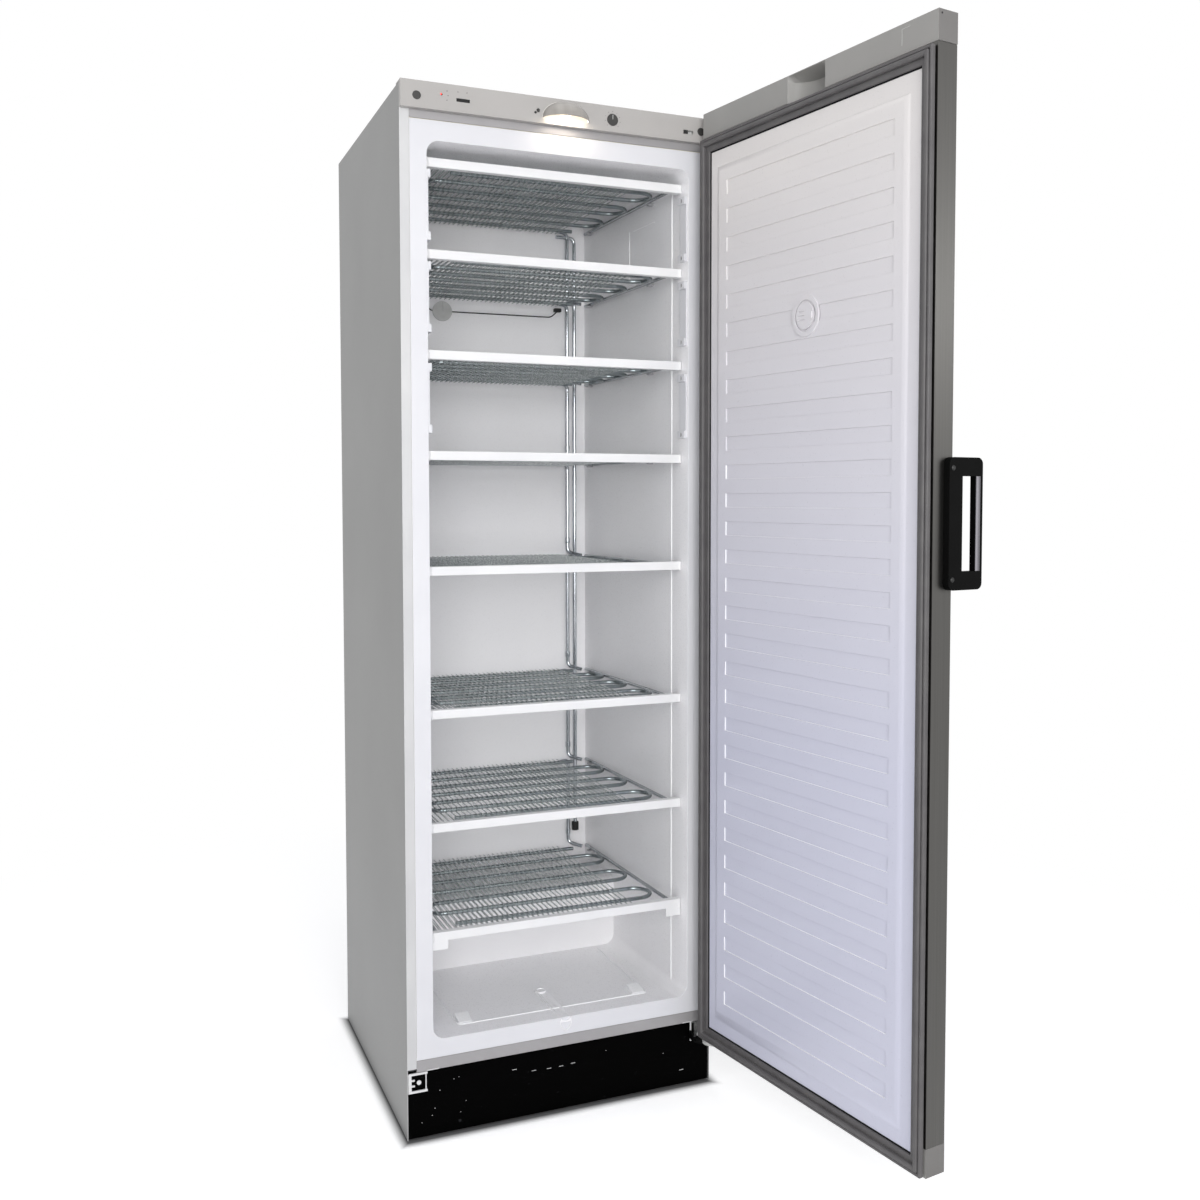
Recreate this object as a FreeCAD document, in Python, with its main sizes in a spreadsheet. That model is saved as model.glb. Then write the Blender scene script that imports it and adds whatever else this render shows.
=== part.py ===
import FreeCAD, Part
import math
import os
import re
import Sketcher

# Upright freezer with eight refrigerated wire-on-tube shelves, a right-hinged door that stands open,
# a control fascia over the door and a machine space low at the back.
# Frame: origin on the floor at the middle of the cabinet's footprint, front towards -Y, up is +Z.

Vector = FreeCAD.Vector

sizes = {
    # cabinet shell
    "cabinetWidth": 595,
    "cabinetDepth": 570,
    "cabinetHeight": 1850,
    "panelBottom": 4,
    "panelReveal": 3,
    "steelSheet": 1,
    "flangeWidth": 17,
    "flangeBottom": 131,
    "hemWidth": 12,
    "lidLip": 4,
    "seamGap": 0.3,
    "backRecess": 32,
    # inner liner
    "rimBottom": 145.5,
    "rimDrop": 61,
    "linerWall": 1.5,
    "openingInset": 95,
    "openingBottom": 178.3,
    "openingDrop": 95.2,
    "openingRadius": 22,
    "creaseDepth": 60,
    "creaseTaper": 12,
    "creaseFloor": 173,
    "creaseDrop": 3.8,
    "cavityInset": 82,
    "backTaper": 44,
    "humpReach": 155,
    "humpTop": 320,
    "humpRadius": 20,
    # rails and the control compartment
    "topRailDrop": 60,
    "trayDepth": 50,
    "bottomRailBottom": 125,
    "railLeg": 30,
    # fascia
    "fasciaHeight": 46,
    "fasciaStandOff": 11.4,
    "fasciaWall": 2.5,
    "fasciaLip": 22,
    "fineFit": 0.2,
    "plugInset": 28,
    "plugDrop": 25.5,
    "plugRadius": 7.5,
    "plugProud": 0.8,
    "stemRadius": 5,
    "panelDrop": 24.4,
    "knobOffset": 90.9,
    "knobRadius": 10.5,
    "knobProud": 1.2,
    "knobSpindle": 3,
    "switchInset": 54,
    "switchDrop": 29,
    "switchLength": 20,
    "switchHeight": 7,
    "sliderLength": 8,
    "plungerOffset": 51.5,
    "plungerRadius": 3,
    "plungerProud": 1.4,
    "thermostatHalf": 16,
    "thermostatDepth": 28,
    "switchBodyHalf": 15,
    "switchBodyDepth": 16,
    "doorSwitchHalf": 9,
    "doorSwitchDepth": 22,
    "displayInset": 109.5,
    "displayDrop": 25,
    "displayLength": 24,
    "displayHeight": 6,
    "lampInset": 71.6,
    "lampRadius": 1.5,
    "lampDrop": 19,
    "cowlHalfWidth": 44,
    "cowlReach": 31,
    "cowlDrop": 36,
    "cowlWall": 2,
    "bulbRadius": 9,
    # evaporator shelves
    "shelfOneShare": 0.98289,
    "shelfTwoShare": 0.88276,
    "shelfThreeShare": 0.77218,
    "shelfFourShare": 0.66033,
    "shelfFiveShare": 0.53074,
    "shelfSixShare": 0.36882,
    "shelfSevenShare": 0.23954,
    "shelfEightShare": 0.1147,
    "tubeRadius": 4,
    "firstPass": 80,
    "passMargin": 110,
    "passCount": 7,
    "coilInset": 32,
    "wireSide": 1.6,
    "wirePitch": 30,
    "wireStartInset": 23,
    "wireEndInset": 98,
    "wireTail": 14,
    "railSide": 6,
    "railFrontInset": 18,
    "railBackInset": 26,
    "trimFace": 23,
    "trimHeight": 16,
    "trimDepth": 15,
    "trimWall": 2,
    "trimGap": 0.6,
    "tabWidth": 30,
    "tabDrop": 16,
    "supportReach": 12,
    "supportWidth": 10,
    "supportHeight": 4,
    "riserInset": 8,
    "riserOneInset": 66.5,
    "riserTwoInset": 49.5,
    "riserLeadInset": 92,
    "riserTail": 26,
    "riserTailDepth": 19,
    "riserTailDrop": 7,
    "bendRadius": 14,
    "stripReach": 7,
    "stripFront": 4,
    "wallGap": 0.2,
    "stripWidth": 24,
    "stripWall": 3,
    "stripDrop": 17,
    "stripLength": 121,
    "stripBoss": 14,
    "sensorOffset": 97.5,
    "sensorLevel": 1538,
    "sensorRadius": 21,
    "sensorThickness": 5,
    "capillaryRadius": 1.5,
    "grommetRadius": 9,
    "grommetLevel": 400,
    # base, feet and rollers
    "baseSheet": 1.5,
    "baseBottom": 10,
    "runnerWidth": 33,
    "runnerHeight": 20,
    "kickRecess": 4.5,
    "kickTop": 121,
    "kickWall": 2.5,
    "kickReturn": 12,
    "machineDepth": 160,
    "machineTop": 275,
    "postWidth": 40,
    "footInset": 59.5,
    "footDepth": 30,
    "footRadius": 18,
    "footThickness": 6,
    "studRadius": 4,
    "runningGap": 0.08,
    "rollerRadius": 14,
    "rollerWidth": 20,
    "rollerDepth": 45,
    "axleRadius": 3,
    # machine space
    "compressorRadius": 76,
    "compressorHeight": 165,
    "compressorOffset": 120,
    "compressorDepth": 105,
    "terminalReach": 18,
    "terminalHalf": 22,
    "soleMargin": 14,
    "grommetHeight": 10,
    "footSpread": 90,
    "plateThickness": 2.5,
    "trayHeight": 22,
    "trayHalf": 60,
    "condenserTube": 3,
    "condenserPitch": 150,
    "condenserRows": 9,
    "condenserInset": 62.5,
    "condenserBottom": 330,
    "condenserGap": 11,
    "lineRadius": 3,
    "drierRadius": 9,
    "drierLength": 90,
    "drierInset": 147.5,
    "inletWidth": 34,
    "inletHeight": 26,
    "inletDepth": 16,
    "inletBore": 4.5,
    # hinges
    "hingeInset": 10,
    "hingeAhead": 36,
    "pinRadius": 4,
    "pinLength": 24,
    "plateHalf": 11,
    "plateGauge": 2.6,
    "upperPlateDrop": 49.1,
    "upperPlateTab": 34,
    "lowerPlateLevel": 91,
    "lowerPlateGauge": 3,
    "bracketTop": 123,
    "bracketBottom": 87,
    "bracketWidth": 38,
    "bracketGauge": 3,
    "bracketArm": 16,
    "spareInset": 2,
    "frameBar": 6,
    "frameRail": 4,
    "tongueInset": 13,
    "tongueReach": 12,
    "housingRadius": 20,
    "bushWall": 3,
    "bushLength": 27,
    "lowerBushLength": 16.5,
    # door
    "doorBottom": 109.5,
    "doorGap": 13.5,
    "doorThickness": 38.9,
    "doorAngle": 98.5,
    "capHeight": 45.5,
    "capProud": 1,
    "capReveal": 4.2,
    "capSeam": 0.6,
    "armClear": 52,
    "edgeBevel": 3,
    "bottomCapHeight": 45,
    "spigotHeight": 8,
    "spigotInset": 5,
    "scoopHalf": 48,
    "scoopDepth": 34,
    "capLip": 1.5,
    "scoopStepDrop": 11,
    "doorSheet": 1.5,
    "doorLinerSide": 8,
    "doorLinerBottom": 113,
    "doorLinerDrop": 54,
    "fieldInset": 59.5,
    "fieldBottom": 175,
    "fieldDrop": 112,
    "fieldRise": 3.5,
    "grooveInset": 83.5,
    "grooveHeight": 25,
    "groovePitch": 51.3,
    "grooveDepth": 2,
    "grooveCount": 30,
    "grooveDrop": 149.6,
    "gasketInset": 5,
    "gasketWidth": 31,
    "gasketBottom": 110.5,
    "gasketDrop": 50.5,
    "gasketHeight": 10.8,
    "gasketFold": 3,
    "valveOffset": 10.5,
    "valveLevel": 1442,
    "valveRadius": 36,
    "valveCore": 24,
    "valveHeight": 4,
    "handleThickness": 12,
    "handleStart": 21.6,
    "handleEnd": 91.5,
    "handleBottom": 1002.4,
    "handleTop": 1200.7,
    "handleCorner": 10,
    "slotStart": 49,
    "slotEnd": 77,
    "slotMargin": 28,
    "inlayWidth": 9,
    "inlayDepth": 1,
    "screwRadius": 4,
    "screwInset": 16,
    "screwHead": 1.6,
}

# Places and lengths that follow from the driving sizes; these words stand for their expressions below.
followers = {
    "panelTop": "(cabinetHeight - panelReveal)",
    "rimTop": "(cabinetHeight - rimDrop)",
    "openingWidth": "(cabinetWidth - openingInset)",
    "openingTop": "(cabinetHeight - openingDrop)",
    "creaseWidth": "(openingWidth - creaseTaper)",
    "creaseCeiling": "(openingTop - creaseDrop)",
    "cavityDepth": "(cabinetDepth - cavityInset)",
    "cavityBackWidth": "(openingWidth - backTaper)",
    "humpDepth": "(cavityDepth - humpReach)",
    "topRailBottom": "(cabinetHeight - topRailDrop)",
    "trayLevel": "fasciaBottom",
    "fasciaBottom": "(cabinetHeight - fasciaHeight)",
    "plugLevel": "(cabinetHeight - plugDrop)",
    "panelLevel": "(cabinetHeight - panelDrop)",
    "switchOffset": "(cabinetWidth / 2 - switchInset)",
    "switchLevel": "(cabinetHeight - switchDrop)",
    "displayOffset": "(cabinetWidth / 2 - displayInset)",
    "displayLevel": "(cabinetHeight - displayDrop)",
    "lampOffset": "(cabinetWidth / 2 - lampInset)",
    "lampLevel": "(cabinetHeight - lampDrop)",
    "cowlBottom": "(cabinetHeight - cowlDrop)",
    "roomHeight": "(creaseCeiling - creaseFloor)",
    "shelfOne": "(creaseFloor + roomHeight * shelfOneShare)",
    "shelfTwo": "(creaseFloor + roomHeight * shelfTwoShare)",
    "shelfThree": "(creaseFloor + roomHeight * shelfThreeShare)",
    "shelfFour": "(creaseFloor + roomHeight * shelfFourShare)",
    "shelfFive": "(creaseFloor + roomHeight * shelfFiveShare)",
    "shelfSix": "(creaseFloor + roomHeight * shelfSixShare)",
    "shelfSeven": "(creaseFloor + roomHeight * shelfSevenShare)",
    "shelfEight": "(creaseFloor + roomHeight * shelfEightShare)",
    "passPitch": "((cavityDepth - passMargin) / (passCount - 1))",
    "coilHalfWidth": "(openingWidth / 2 - coilInset)",
    "wireStart": "(openingWidth / 2 - wireStartInset)",
    "wireEnd": "(openingWidth / 2 - wireEndInset)",
    "railFront": "(openingWidth / 2 - railFrontInset)",
    "railBack": "(openingWidth / 2 - railBackInset)",
    "riserOne": "(openingWidth / 2 - riserOneInset)",
    "riserTwo": "(openingWidth / 2 - riserTwoInset)",
    "riserLead": "(openingWidth / 2 - riserLeadInset)",
    "footOffset": "(cabinetWidth / 2 - footInset)",
    "condenserHalf": "(cabinetWidth / 2 - condenserInset)",
    "upperPlateLevel": "(cabinetHeight - upperPlateDrop)",
    "scoopStep": "(cabinetHeight - scoopStepDrop)",
    "doorLinerTop": "(cabinetHeight - doorLinerDrop)",
    "fieldHalf": "(cabinetWidth / 2 - fieldInset)",
    "fieldTop": "(cabinetHeight - fieldDrop)",
    "grooveHalf": "(cabinetWidth / 2 - grooveInset)",
    "grooveTop": "(cabinetHeight - grooveDrop)",
    "gasketTop": "(cabinetHeight - gasketDrop)",
}

doc = FreeCAD.newDocument("upright_freezer")
sheet = doc.addObject("Spreadsheet::Sheet", "sheet")
for row, (alias, number) in enumerate(sizes.items(), start=1):
    sheet.set("A%d" % row, alias)
    sheet.set("B%d" % row, str(number))
    sheet.setAlias("B%d" % row, alias)
doc.recompute()

pieces = []


# Places that many pieces share, as expressions of the driving sizes.
half = "cabinetWidth / 2"
front = "-cabinetDepth / 2"
rear = "cabinetDepth / 2"
inside = "cabinetWidth / 2 - steelSheet"
rimHalf = "(cabinetWidth / 2 - flangeWidth - seamGap)"
fasciaFront = "(-cabinetDepth / 2 - fasciaStandOff)"
backPanel = "(cabinetDepth / 2 - backRecess)"
machineFront = "(cabinetDepth / 2 - backRecess - machineDepth)"
doorInner = "(-cabinetDepth / 2 - doorGap)"
doorOuter = "(-cabinetDepth / 2 - doorGap - doorThickness)"
axisX = "(cabinetWidth / 2 - hingeInset)"
axisY = "(-cabinetDepth / 2 - hingeAhead)"
panTop = "(cabinetHeight - capHeight - capReveal)"
panBottom = "(doorBottom + bottomCapHeight)"
linerFace = "(-cabinetDepth / 2 - doorGap + doorSheet)"
fieldFace = "(-cabinetDepth / 2 - doorGap + doorSheet + fieldRise)"
baseTop = "bottomRailBottom"
shelfAliases = ["shelfOne", "shelfTwo", "shelfThree", "shelfFour", "shelfFive", "shelfSix",
                "shelfSeven", "shelfEight"]


def spelledOut(text):
    """The expression with each worked-out word replaced by the driving sizes behind it."""
    while any(word in followers for word in re.findall(r"[A-Za-z]+", text)):
        text = re.sub(r"[A-Za-z]+", lambda word: followers.get(word.group(), word.group()), text)
    return text


def bound(text):
    """The expression with each driving size read from the sheet."""
    words = r"[A-Za-z]+"
    return re.sub(words, lambda word: ("sheet." if word.group() in sizes else "") + word.group(),
                  spelledOut(text))


def value(text):
    """The number that an expression of the driving sizes comes to."""
    filled = re.sub(r"[A-Za-z]+", lambda word: str(sheet.get(word.group())), spelledOut(text))
    return FreeCAD.Units.Quantity(filled).Value


def newBody(label):
    body = doc.addObject("PartDesign::Body", label)
    body.Label = label
    return body


def keep(piece):
    pieces.append(piece)
    return piece


def rect(left, right, low, high):
    return [(left, low), (right, low), (right, high), (left, high)]


def roundHole(across, along, radius, sides):
    """Corners of a regular outline whose flats touch the circle."""
    corners = []
    for step in range(sides):
        turn = 2 * math.pi * (step + 0.5) / sides
        stretch = 1 / math.cos(math.pi / sides)
        corners.append(("%s + (%s) * %.5f" % (across, radius, stretch * math.cos(turn)),
                        "%s + (%s) * %.5f" % (along, radius, stretch * math.sin(turn))))
    return corners


def newSketch(body, plane, level):
    sketch = body.newObject("Sketcher::SketchObject", body.Name + "Sketch")
    origin = [item for item in body.Origin.OriginFeatures if item.Role == plane + "_Plane"][0]
    sketch.AttachmentSupport = [(origin, "")]
    sketch.MapMode = "FlatFace"
    sketch.setExpression("AttachmentOffset.Base.z", bound(level))
    return sketch


def fix(sketch, kind, geometry, point, text):
    """Holds one coordinate of a point to an expression."""
    constraint = sketch.addConstraint(Sketcher.Constraint(kind, -1, 1, geometry, point, value(text)))
    sketch.setExpression("Constraints[%d]" % constraint, bound(text))


def drawPolygon(sketch, corners):
    """Straight closed outline; every corner is held by two bound distances."""
    count = len(corners)
    first = sketch.GeometryCount
    spots = [Vector(value(across), value(along), 0) for across, along in corners]
    for index in range(count):
        sketch.addGeometry(Part.LineSegment(spots[index], spots[(index + 1) % count]))
    for index in range(count):
        following = first + (index + 1) % count
        sketch.addConstraint(Sketcher.Constraint("Coincident", first + index, 2, following, 1))
    for index, (across, along) in enumerate(corners):
        fix(sketch, "DistanceX", first + index, 1, across)
        fix(sketch, "DistanceY", first + index, 1, along)


def drawCircle(sketch, across, along, radius):
    centre = Vector(value(across), value(along), 0)
    index = sketch.addGeometry(Part.Circle(centre, Vector(0, 0, 1), value(radius)))
    fix(sketch, "DistanceX", index, 3, across)
    fix(sketch, "DistanceY", index, 3, along)
    constraint = sketch.addConstraint(Sketcher.Constraint("Radius", index, value(radius)))
    sketch.setExpression("Constraints[%d]" % constraint, bound(radius))


def drawRounded(sketch, left, right, low, high, radius):
    """A rectangle with four equal round corners."""
    x0, x1, y0, y1, r = value(left), value(right), value(low), value(high), value(radius)
    ends = [(x0 + r, y0, x1 - r, y0), (x1, y0 + r, x1, y1 - r), (x1 - r, y1, x0 + r, y1),
            (x0, y1 - r, x0, y0 + r)]
    centres = [(x1 - r, y0 + r), (x1 - r, y1 - r), (x0 + r, y1 - r), (x0 + r, y0 + r)]
    for startX, startY, endX, endY in ends:
        sketch.addGeometry(Part.LineSegment(Vector(startX, startY, 0), Vector(endX, endY, 0)))
    for quarter, (middleX, middleY) in enumerate(centres):
        circle = Part.Circle(Vector(middleX, middleY, 0), Vector(0, 0, 1), r)
        sketch.addGeometry(Part.ArcOfCircle(circle, math.pi / 2 * (quarter - 1), math.pi / 2 * quarter))
    for corner in range(4):
        sketch.addConstraint(Sketcher.Constraint("Tangent", corner, 2, 4 + corner, 1))
        sketch.addConstraint(Sketcher.Constraint("Tangent", 4 + corner, 2, (corner + 1) % 4, 1))
    for corner in range(1, 4):
        sketch.addConstraint(Sketcher.Constraint("Equal", 4, 4 + corner))
    for line in (0, 2):
        sketch.addConstraint(Sketcher.Constraint("Horizontal", line))
        sketch.addConstraint(Sketcher.Constraint("Vertical", line + 1))
    constraint = sketch.addConstraint(Sketcher.Constraint("Radius", 4, r))
    sketch.setExpression("Constraints[%d]" % constraint, bound(radius))
    fix(sketch, "DistanceY", 0, 1, low)
    fix(sketch, "DistanceX", 1, 1, right)
    fix(sketch, "DistanceY", 2, 1, high)
    fix(sketch, "DistanceX", 3, 1, left)


def drawn(body, plane, shape, level):
    """A sketch of a list of corners, of a circle as (across, along, radius), or of several corner lists."""
    sketch = newSketch(body, plane, level)
    if isinstance(shape, tuple):
        drawCircle(sketch, *shape)
    elif isinstance(shape[0], list):
        for loop in shape:
            drawPolygon(sketch, loop)
    else:
        drawPolygon(sketch, shape)
    return sketch


def pad(body, plane, shape, low, high):
    """Fills the outline between two levels across the plane."""
    level = "-(%s)" % high if plane == "XZ" else low
    sketch = drawn(body, plane, shape, level)
    growth = body.newObject("PartDesign::Pad", body.Name + "Pad")
    growth.Profile = sketch
    growth.setExpression("Length", bound("(%s) - (%s)" % (high, low)))
    return body


def cut(body, plane, shape, low, high):
    """Takes the outline away between two levels across the plane."""
    level = "-(%s)" % low if plane == "XZ" else high
    sketch = drawn(body, plane, shape, level)
    pocket = body.newObject("PartDesign::Pocket", body.Name + "Pocket")
    pocket.Profile = sketch
    pocket.setExpression("Length", bound("(%s) - (%s)" % (high, low)))
    return body


def slab(label, plane, shape, low, high):
    return pad(newBody(label), plane, shape, low, high)


def runsAlong(edge, axis):
    """True for a straight edge that is parallel to the axis."""
    if not isinstance(edge.Curve, Part.Line):
        return False
    return abs(edge.Curve.Direction.dot(axis)) > 0.999


def rounded(body, radius, choose):
    doc.recompute()
    base = body.Tip
    names = []
    for index, edge in enumerate(base.Shape.Edges, start=1):
        if choose(edge):
            names.append("Edge%d" % index)
    fillet = body.newObject("PartDesign::Fillet", body.Name + "Fillet")
    fillet.Base = (base, names)
    fillet.setExpression("Radius", bound(radius))
    return body


def facetTurned(label, profile, sides, sweep=360):
    """A turned shape about Z with flat facets, for small round pieces; (radius, height) pairs."""
    pairs = [(value(radius), value(height)) for radius, height in profile]
    whole = sweep == 360
    rings = []
    for step in range(sides + 1):
        turn = math.radians(sweep * (step % sides if whole else step) / sides)
        across, along = math.cos(turn), math.sin(turn)
        rings.append([Vector(radius * across, radius * along, height) for radius, height in pairs])
    faces = []
    for near, far in zip(rings, rings[1:]):
        for index in range(len(pairs)):
            following = (index + 1) % len(pairs)
            corners = [near[index], near[following]]
            for spot in (far[following], far[index]):
                if all(spot.distanceToPoint(other) > 1e-6 for other in corners):
                    corners.append(spot)
            if len(corners) > 2:
                faces.append(Part.Face(Part.makePolygon(corners + corners[:1])))
    if not whole:
        faces += [Part.Face(Part.makePolygon(ring + ring[:1])) for ring in (rings[0], rings[-1])]
    shell = Part.Shell(faces)
    shell.sewShape()
    solid = Part.Solid(shell).removeSplitter()
    if solid.Volume < 0:
        solid.reverse()
    return feature(label, solid)


def place(piece, across, along, height, rotation=None):
    """Sets the piece down at a bound point, turned when asked."""
    if rotation is not None:
        piece.Placement = FreeCAD.Placement(Vector(0, 0, 0), rotation)
    piece.setExpression("Placement.Base.x", bound(across))
    piece.setExpression("Placement.Base.y", bound(along))
    piece.setExpression("Placement.Base.z", bound(height))
    return piece


def group(label, members):
    """Several solids of one kind under one name."""
    piece = doc.addObject("Part::Compound", label)
    piece.Links = members
    piece.Label = label
    return piece


def feature(label, shape):
    piece = doc.addObject("Part::Feature", label)
    piece.Label = label
    piece.Shape = shape
    return piece


facingFront = FreeCAD.Rotation(Vector(1, 0, 0), 90)
alongX = FreeCAD.Rotation(Vector(0, 1, 0), 90)


# ---- tubes and wires ---------------------------------------------------------------------------------

def bentPath(points, radius, steps):
    """The corner points of a run of tube, each inner corner replaced by short chords of one arc."""
    path = [points[0]]
    for before, corner, after in zip(points, points[1:], points[2:]):
        inward = (before - corner).normalize()
        onward = (after - corner).normalize()
        opening = inward.getAngle(onward)
        reach = radius / math.tan(opening / 2)
        centre = corner + (inward + onward).normalize() * (radius / math.sin(opening / 2))
        start = corner + inward * reach - centre
        finish = corner + onward * reach - centre
        normal = start.cross(finish).normalize()
        sweep = math.degrees(start.getAngle(finish))
        for step in range(steps + 1):
            turn = FreeCAD.Rotation(normal, sweep * step / steps)
            path.append(centre + turn.multVec(start))
    path.append(points[-1])
    return path


def prism(centre, axis, radius, length, sides=24):
    """A many-sided disc or drum along the axis."""
    return mitredTube([centre, centre + axis * length], radius, axis.cross(Vector(1, 0, 0)), sides)


def mitredTube(path, radius, up, sides=6):
    """A six-sided tube along straight runs, mitred where two runs meet."""
    runs = [(after - before).normalize() for before, after in zip(path, path[1:])]
    across = runs[0].cross(up).normalize()
    over = across.cross(runs[0]).normalize()
    ring = []
    for side in range(sides):
        turn = 2 * math.pi * side / sides
        ring.append(path[0] + across * (radius * math.cos(turn)) + over * (radius * math.sin(turn)))
    rings = [ring]
    for index in range(1, len(path)):
        run = runs[index - 1]
        normal = run if index == len(runs) else (run + runs[index]).normalize()
        moved = []
        for spot in rings[-1]:
            distance = (path[index] - spot).dot(normal) / run.dot(normal)
            moved.append(spot + run * distance)
        rings.append(moved)
    faces = []
    for lower, upper in zip(rings, rings[1:]):
        for side in range(sides):
            following = (side + 1) % sides
            corners = [lower[side], lower[following], upper[following], upper[side], lower[side]]
            faces.append(Part.Face(Part.makePolygon(corners)))
    faces.append(Part.Face(Part.makePolygon(rings[0] + [rings[0][0]])))
    faces.append(Part.Face(Part.makePolygon(rings[-1] + [rings[-1][0]])))
    solid = Part.Solid(Part.Shell(faces))
    if solid.Volume < 0:
        solid.reverse()
    return solid


def serpentine(halfWidth, first, pitch, count, level):
    """Points of a flat coil with runs along X, stepped by the pitch along Y; each bend is three chords."""
    points = []
    side = 1
    chords = 3
    for index in range(count):
        along = first + pitch * index
        inner = halfWidth - pitch / 2
        points.append(Vector(-side * inner, along, level))
        points.append(Vector(side * inner, along, level))
        if index < count - 1:
            for step in range(1, chords):
                turn = math.pi * step / chords
                reach = inner + pitch / 2 * math.sin(turn)
                points.append(Vector(side * reach, along + pitch / 2 * (1 - math.cos(turn)), level))
        side = -side
    return points


# ---- cabinet shell -----------------------------------------------------------------------------------

def sidePanel(label, sign):
    """One bent sheet: the side, its front flange and the hem at the back."""
    outer = "%s * (%s)" % (sign, half)
    inner = "%s * (%s)" % (sign, inside)
    lip = "%s * (%s - flangeWidth)" % (sign, half)
    hem = "%s * (%s - hemWidth)" % (sign, half)
    corners = [(outer, front), (lip, front), (lip, front + " + steelSheet"),
               (inner, front + " + steelSheet")]
    corners += [(inner, rear + " - steelSheet"), (hem, rear + " - steelSheet"), (hem, rear), (outer, rear)]
    body = slab(label, "XY", corners, "panelBottom", "panelTop")
    below = rect(inner, lip, "panelBottom - 1", "flangeBottom")
    return cut(body, "XZ", below, front + " - 1", front + " + steelSheet")


keep(sidePanel("side_panel_left", "-1"))
keep(sidePanel("side_panel_right", "1"))

panelFit = "(cabinetWidth / 2 - steelSheet - seamGap)"
lidFront = "(-cabinetDepth / 2 + steelSheet + seamGap)"
lidBack = "(cabinetDepth / 2 - steelSheet - seamGap)"
corners = [(lidFront, "panelTop - lidLip"), (lidFront, "panelTop"), (lidBack, "panelTop")]
corners += [(lidBack, "panelTop - steelSheet"), (lidFront + " + steelSheet", "panelTop - steelSheet")]
corners += [(lidFront + " + steelSheet", "panelTop - lidLip")]
keep(slab("top_panel", "YZ", corners, "-" + panelFit, panelFit))

roofTop = "(machineTop + baseSheet)"
corners = rect("-" + panelFit, panelFit, roofTop + " + seamGap", "panelTop - steelSheet - seamGap")
keep(slab("back_panel", "XZ", corners, backPanel, backPanel + " + steelSheet"))

corners = [(front, "topRailBottom"), (front, "trayLevel"), (front + " + trayDepth", "trayLevel")]
corners += [(front + " + trayDepth", "panelTop - steelSheet - seamGap")]
corners += [(front + " + trayDepth + steelSheet", "panelTop - steelSheet - seamGap")]
corners += [(front + " + trayDepth + steelSheet", "trayLevel - steelSheet")]
corners += [(front + " + steelSheet", "trayLevel - steelSheet"), (front + " + steelSheet", "topRailBottom")]
keep(slab("top_rail", "YZ", corners, "-" + rimHalf, rimHalf))

railTop = "(rimBottom - seamGap)"
corners = [(front, baseTop), (front, railTop), (front + " + steelSheet", railTop)]
corners += [(front + " + steelSheet", baseTop + " + steelSheet"),
            (front + " + railLeg", baseTop + " + steelSheet")]
corners += [(front + " + railLeg", baseTop)]
keep(slab("bottom_rail", "YZ", corners, "-" + rimHalf, rimHalf))


# ---- base frame, feet and rollers --------------------------------------------------------------------

wallFront = "(-cabinetDepth / 2 + kickRecess + kickReturn + seamGap)"
wallBack = "(-cabinetDepth / 2 + kickRecess + kickReturn + seamGap + baseSheet)"
runnerTop = "(baseBottom + runnerHeight)"
runnerOuter = panelFit
runnerInner = "(cabinetWidth / 2 - steelSheet - seamGap - runnerWidth)"
runnerEnd = "(cabinetDepth / 2 - hemWidth)"
footY = "(-cabinetDepth / 2 + kickRecess + kickReturn + footDepth)"
rollerX = "(cabinetWidth / 2 - steelSheet - seamGap - runnerWidth / 2)"
rollerY = "(cabinetDepth / 2 - rollerDepth)"

corners = [(wallFront, "baseBottom"), (wallFront, baseTop), (machineFront, baseTop),
           (machineFront, roofTop)]
corners += [(backPanel, roofTop), (backPanel, "machineTop"), (machineFront + " + baseSheet", "machineTop")]
corners += [(machineFront + " + baseSheet", baseTop + " - baseSheet"), (wallBack, baseTop + " - baseSheet")]
corners += [(wallBack, "baseBottom")]
base = slab("base_frame", "YZ", corners, "-" + panelFit, panelFit)
for sign in ("-1", "1"):
    outer = "%s * %s" % (sign, runnerOuter)
    inner = "%s * %s" % (sign, runnerInner)
    outerWeb = "%s * (%s - baseSheet)" % (sign, runnerOuter)
    innerWeb = "%s * (%s + baseSheet)" % (sign, runnerInner)
    low = "rollerRadius - 2 * axleRadius"
    corners = [(outer, low), (outer, runnerTop), (inner, runnerTop), (inner, low), (innerWeb, low)]
    corners += [(innerWeb, runnerTop + " - baseSheet"), (outerWeb, runnerTop + " - baseSheet"),
                (outerWeb, low)]
    pad(base, "XZ", corners, wallBack, runnerEnd)
    post = sorted([outer, "%s * (%s - postWidth)" % (sign, runnerOuter)], key=value)
    pad(base, "XZ", rect(post[0], post[1], runnerTop, "machineTop"), backPanel + " - baseSheet", backPanel)
    ends = sorted([outer, inner], key=value)
    pad(base, "YZ", (rollerY, "rollerRadius", "axleRadius"), ends[0], ends[1])
plate = rect("-" + runnerInner, runnerInner, wallBack, footY + " + footDepth")
pad(base, "XY", plate, runnerTop + " - baseSheet", runnerTop)
plate = rect("-" + runnerInner, runnerInner, machineFront + " + footDepth / 2", runnerEnd)
pad(base, "XY", plate, runnerTop + " - baseSheet", runnerTop)
for sign in ("-", ""):
    nut = rect(sign + "footOffset - studRadius * 2", sign + "footOffset + studRadius * 2",
               footY + " - studRadius * 2", footY + " + studRadius * 2")
    pad(base, "XY", nut, runnerTop + " - 10", runnerTop + " - baseSheet")
    bore = roundHole(sign + "footOffset", footY, "studRadius + runningGap", 24)
    cut(base, "XY", bore, runnerTop + " - 11", runnerTop + " + 1")
keep(base)

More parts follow.
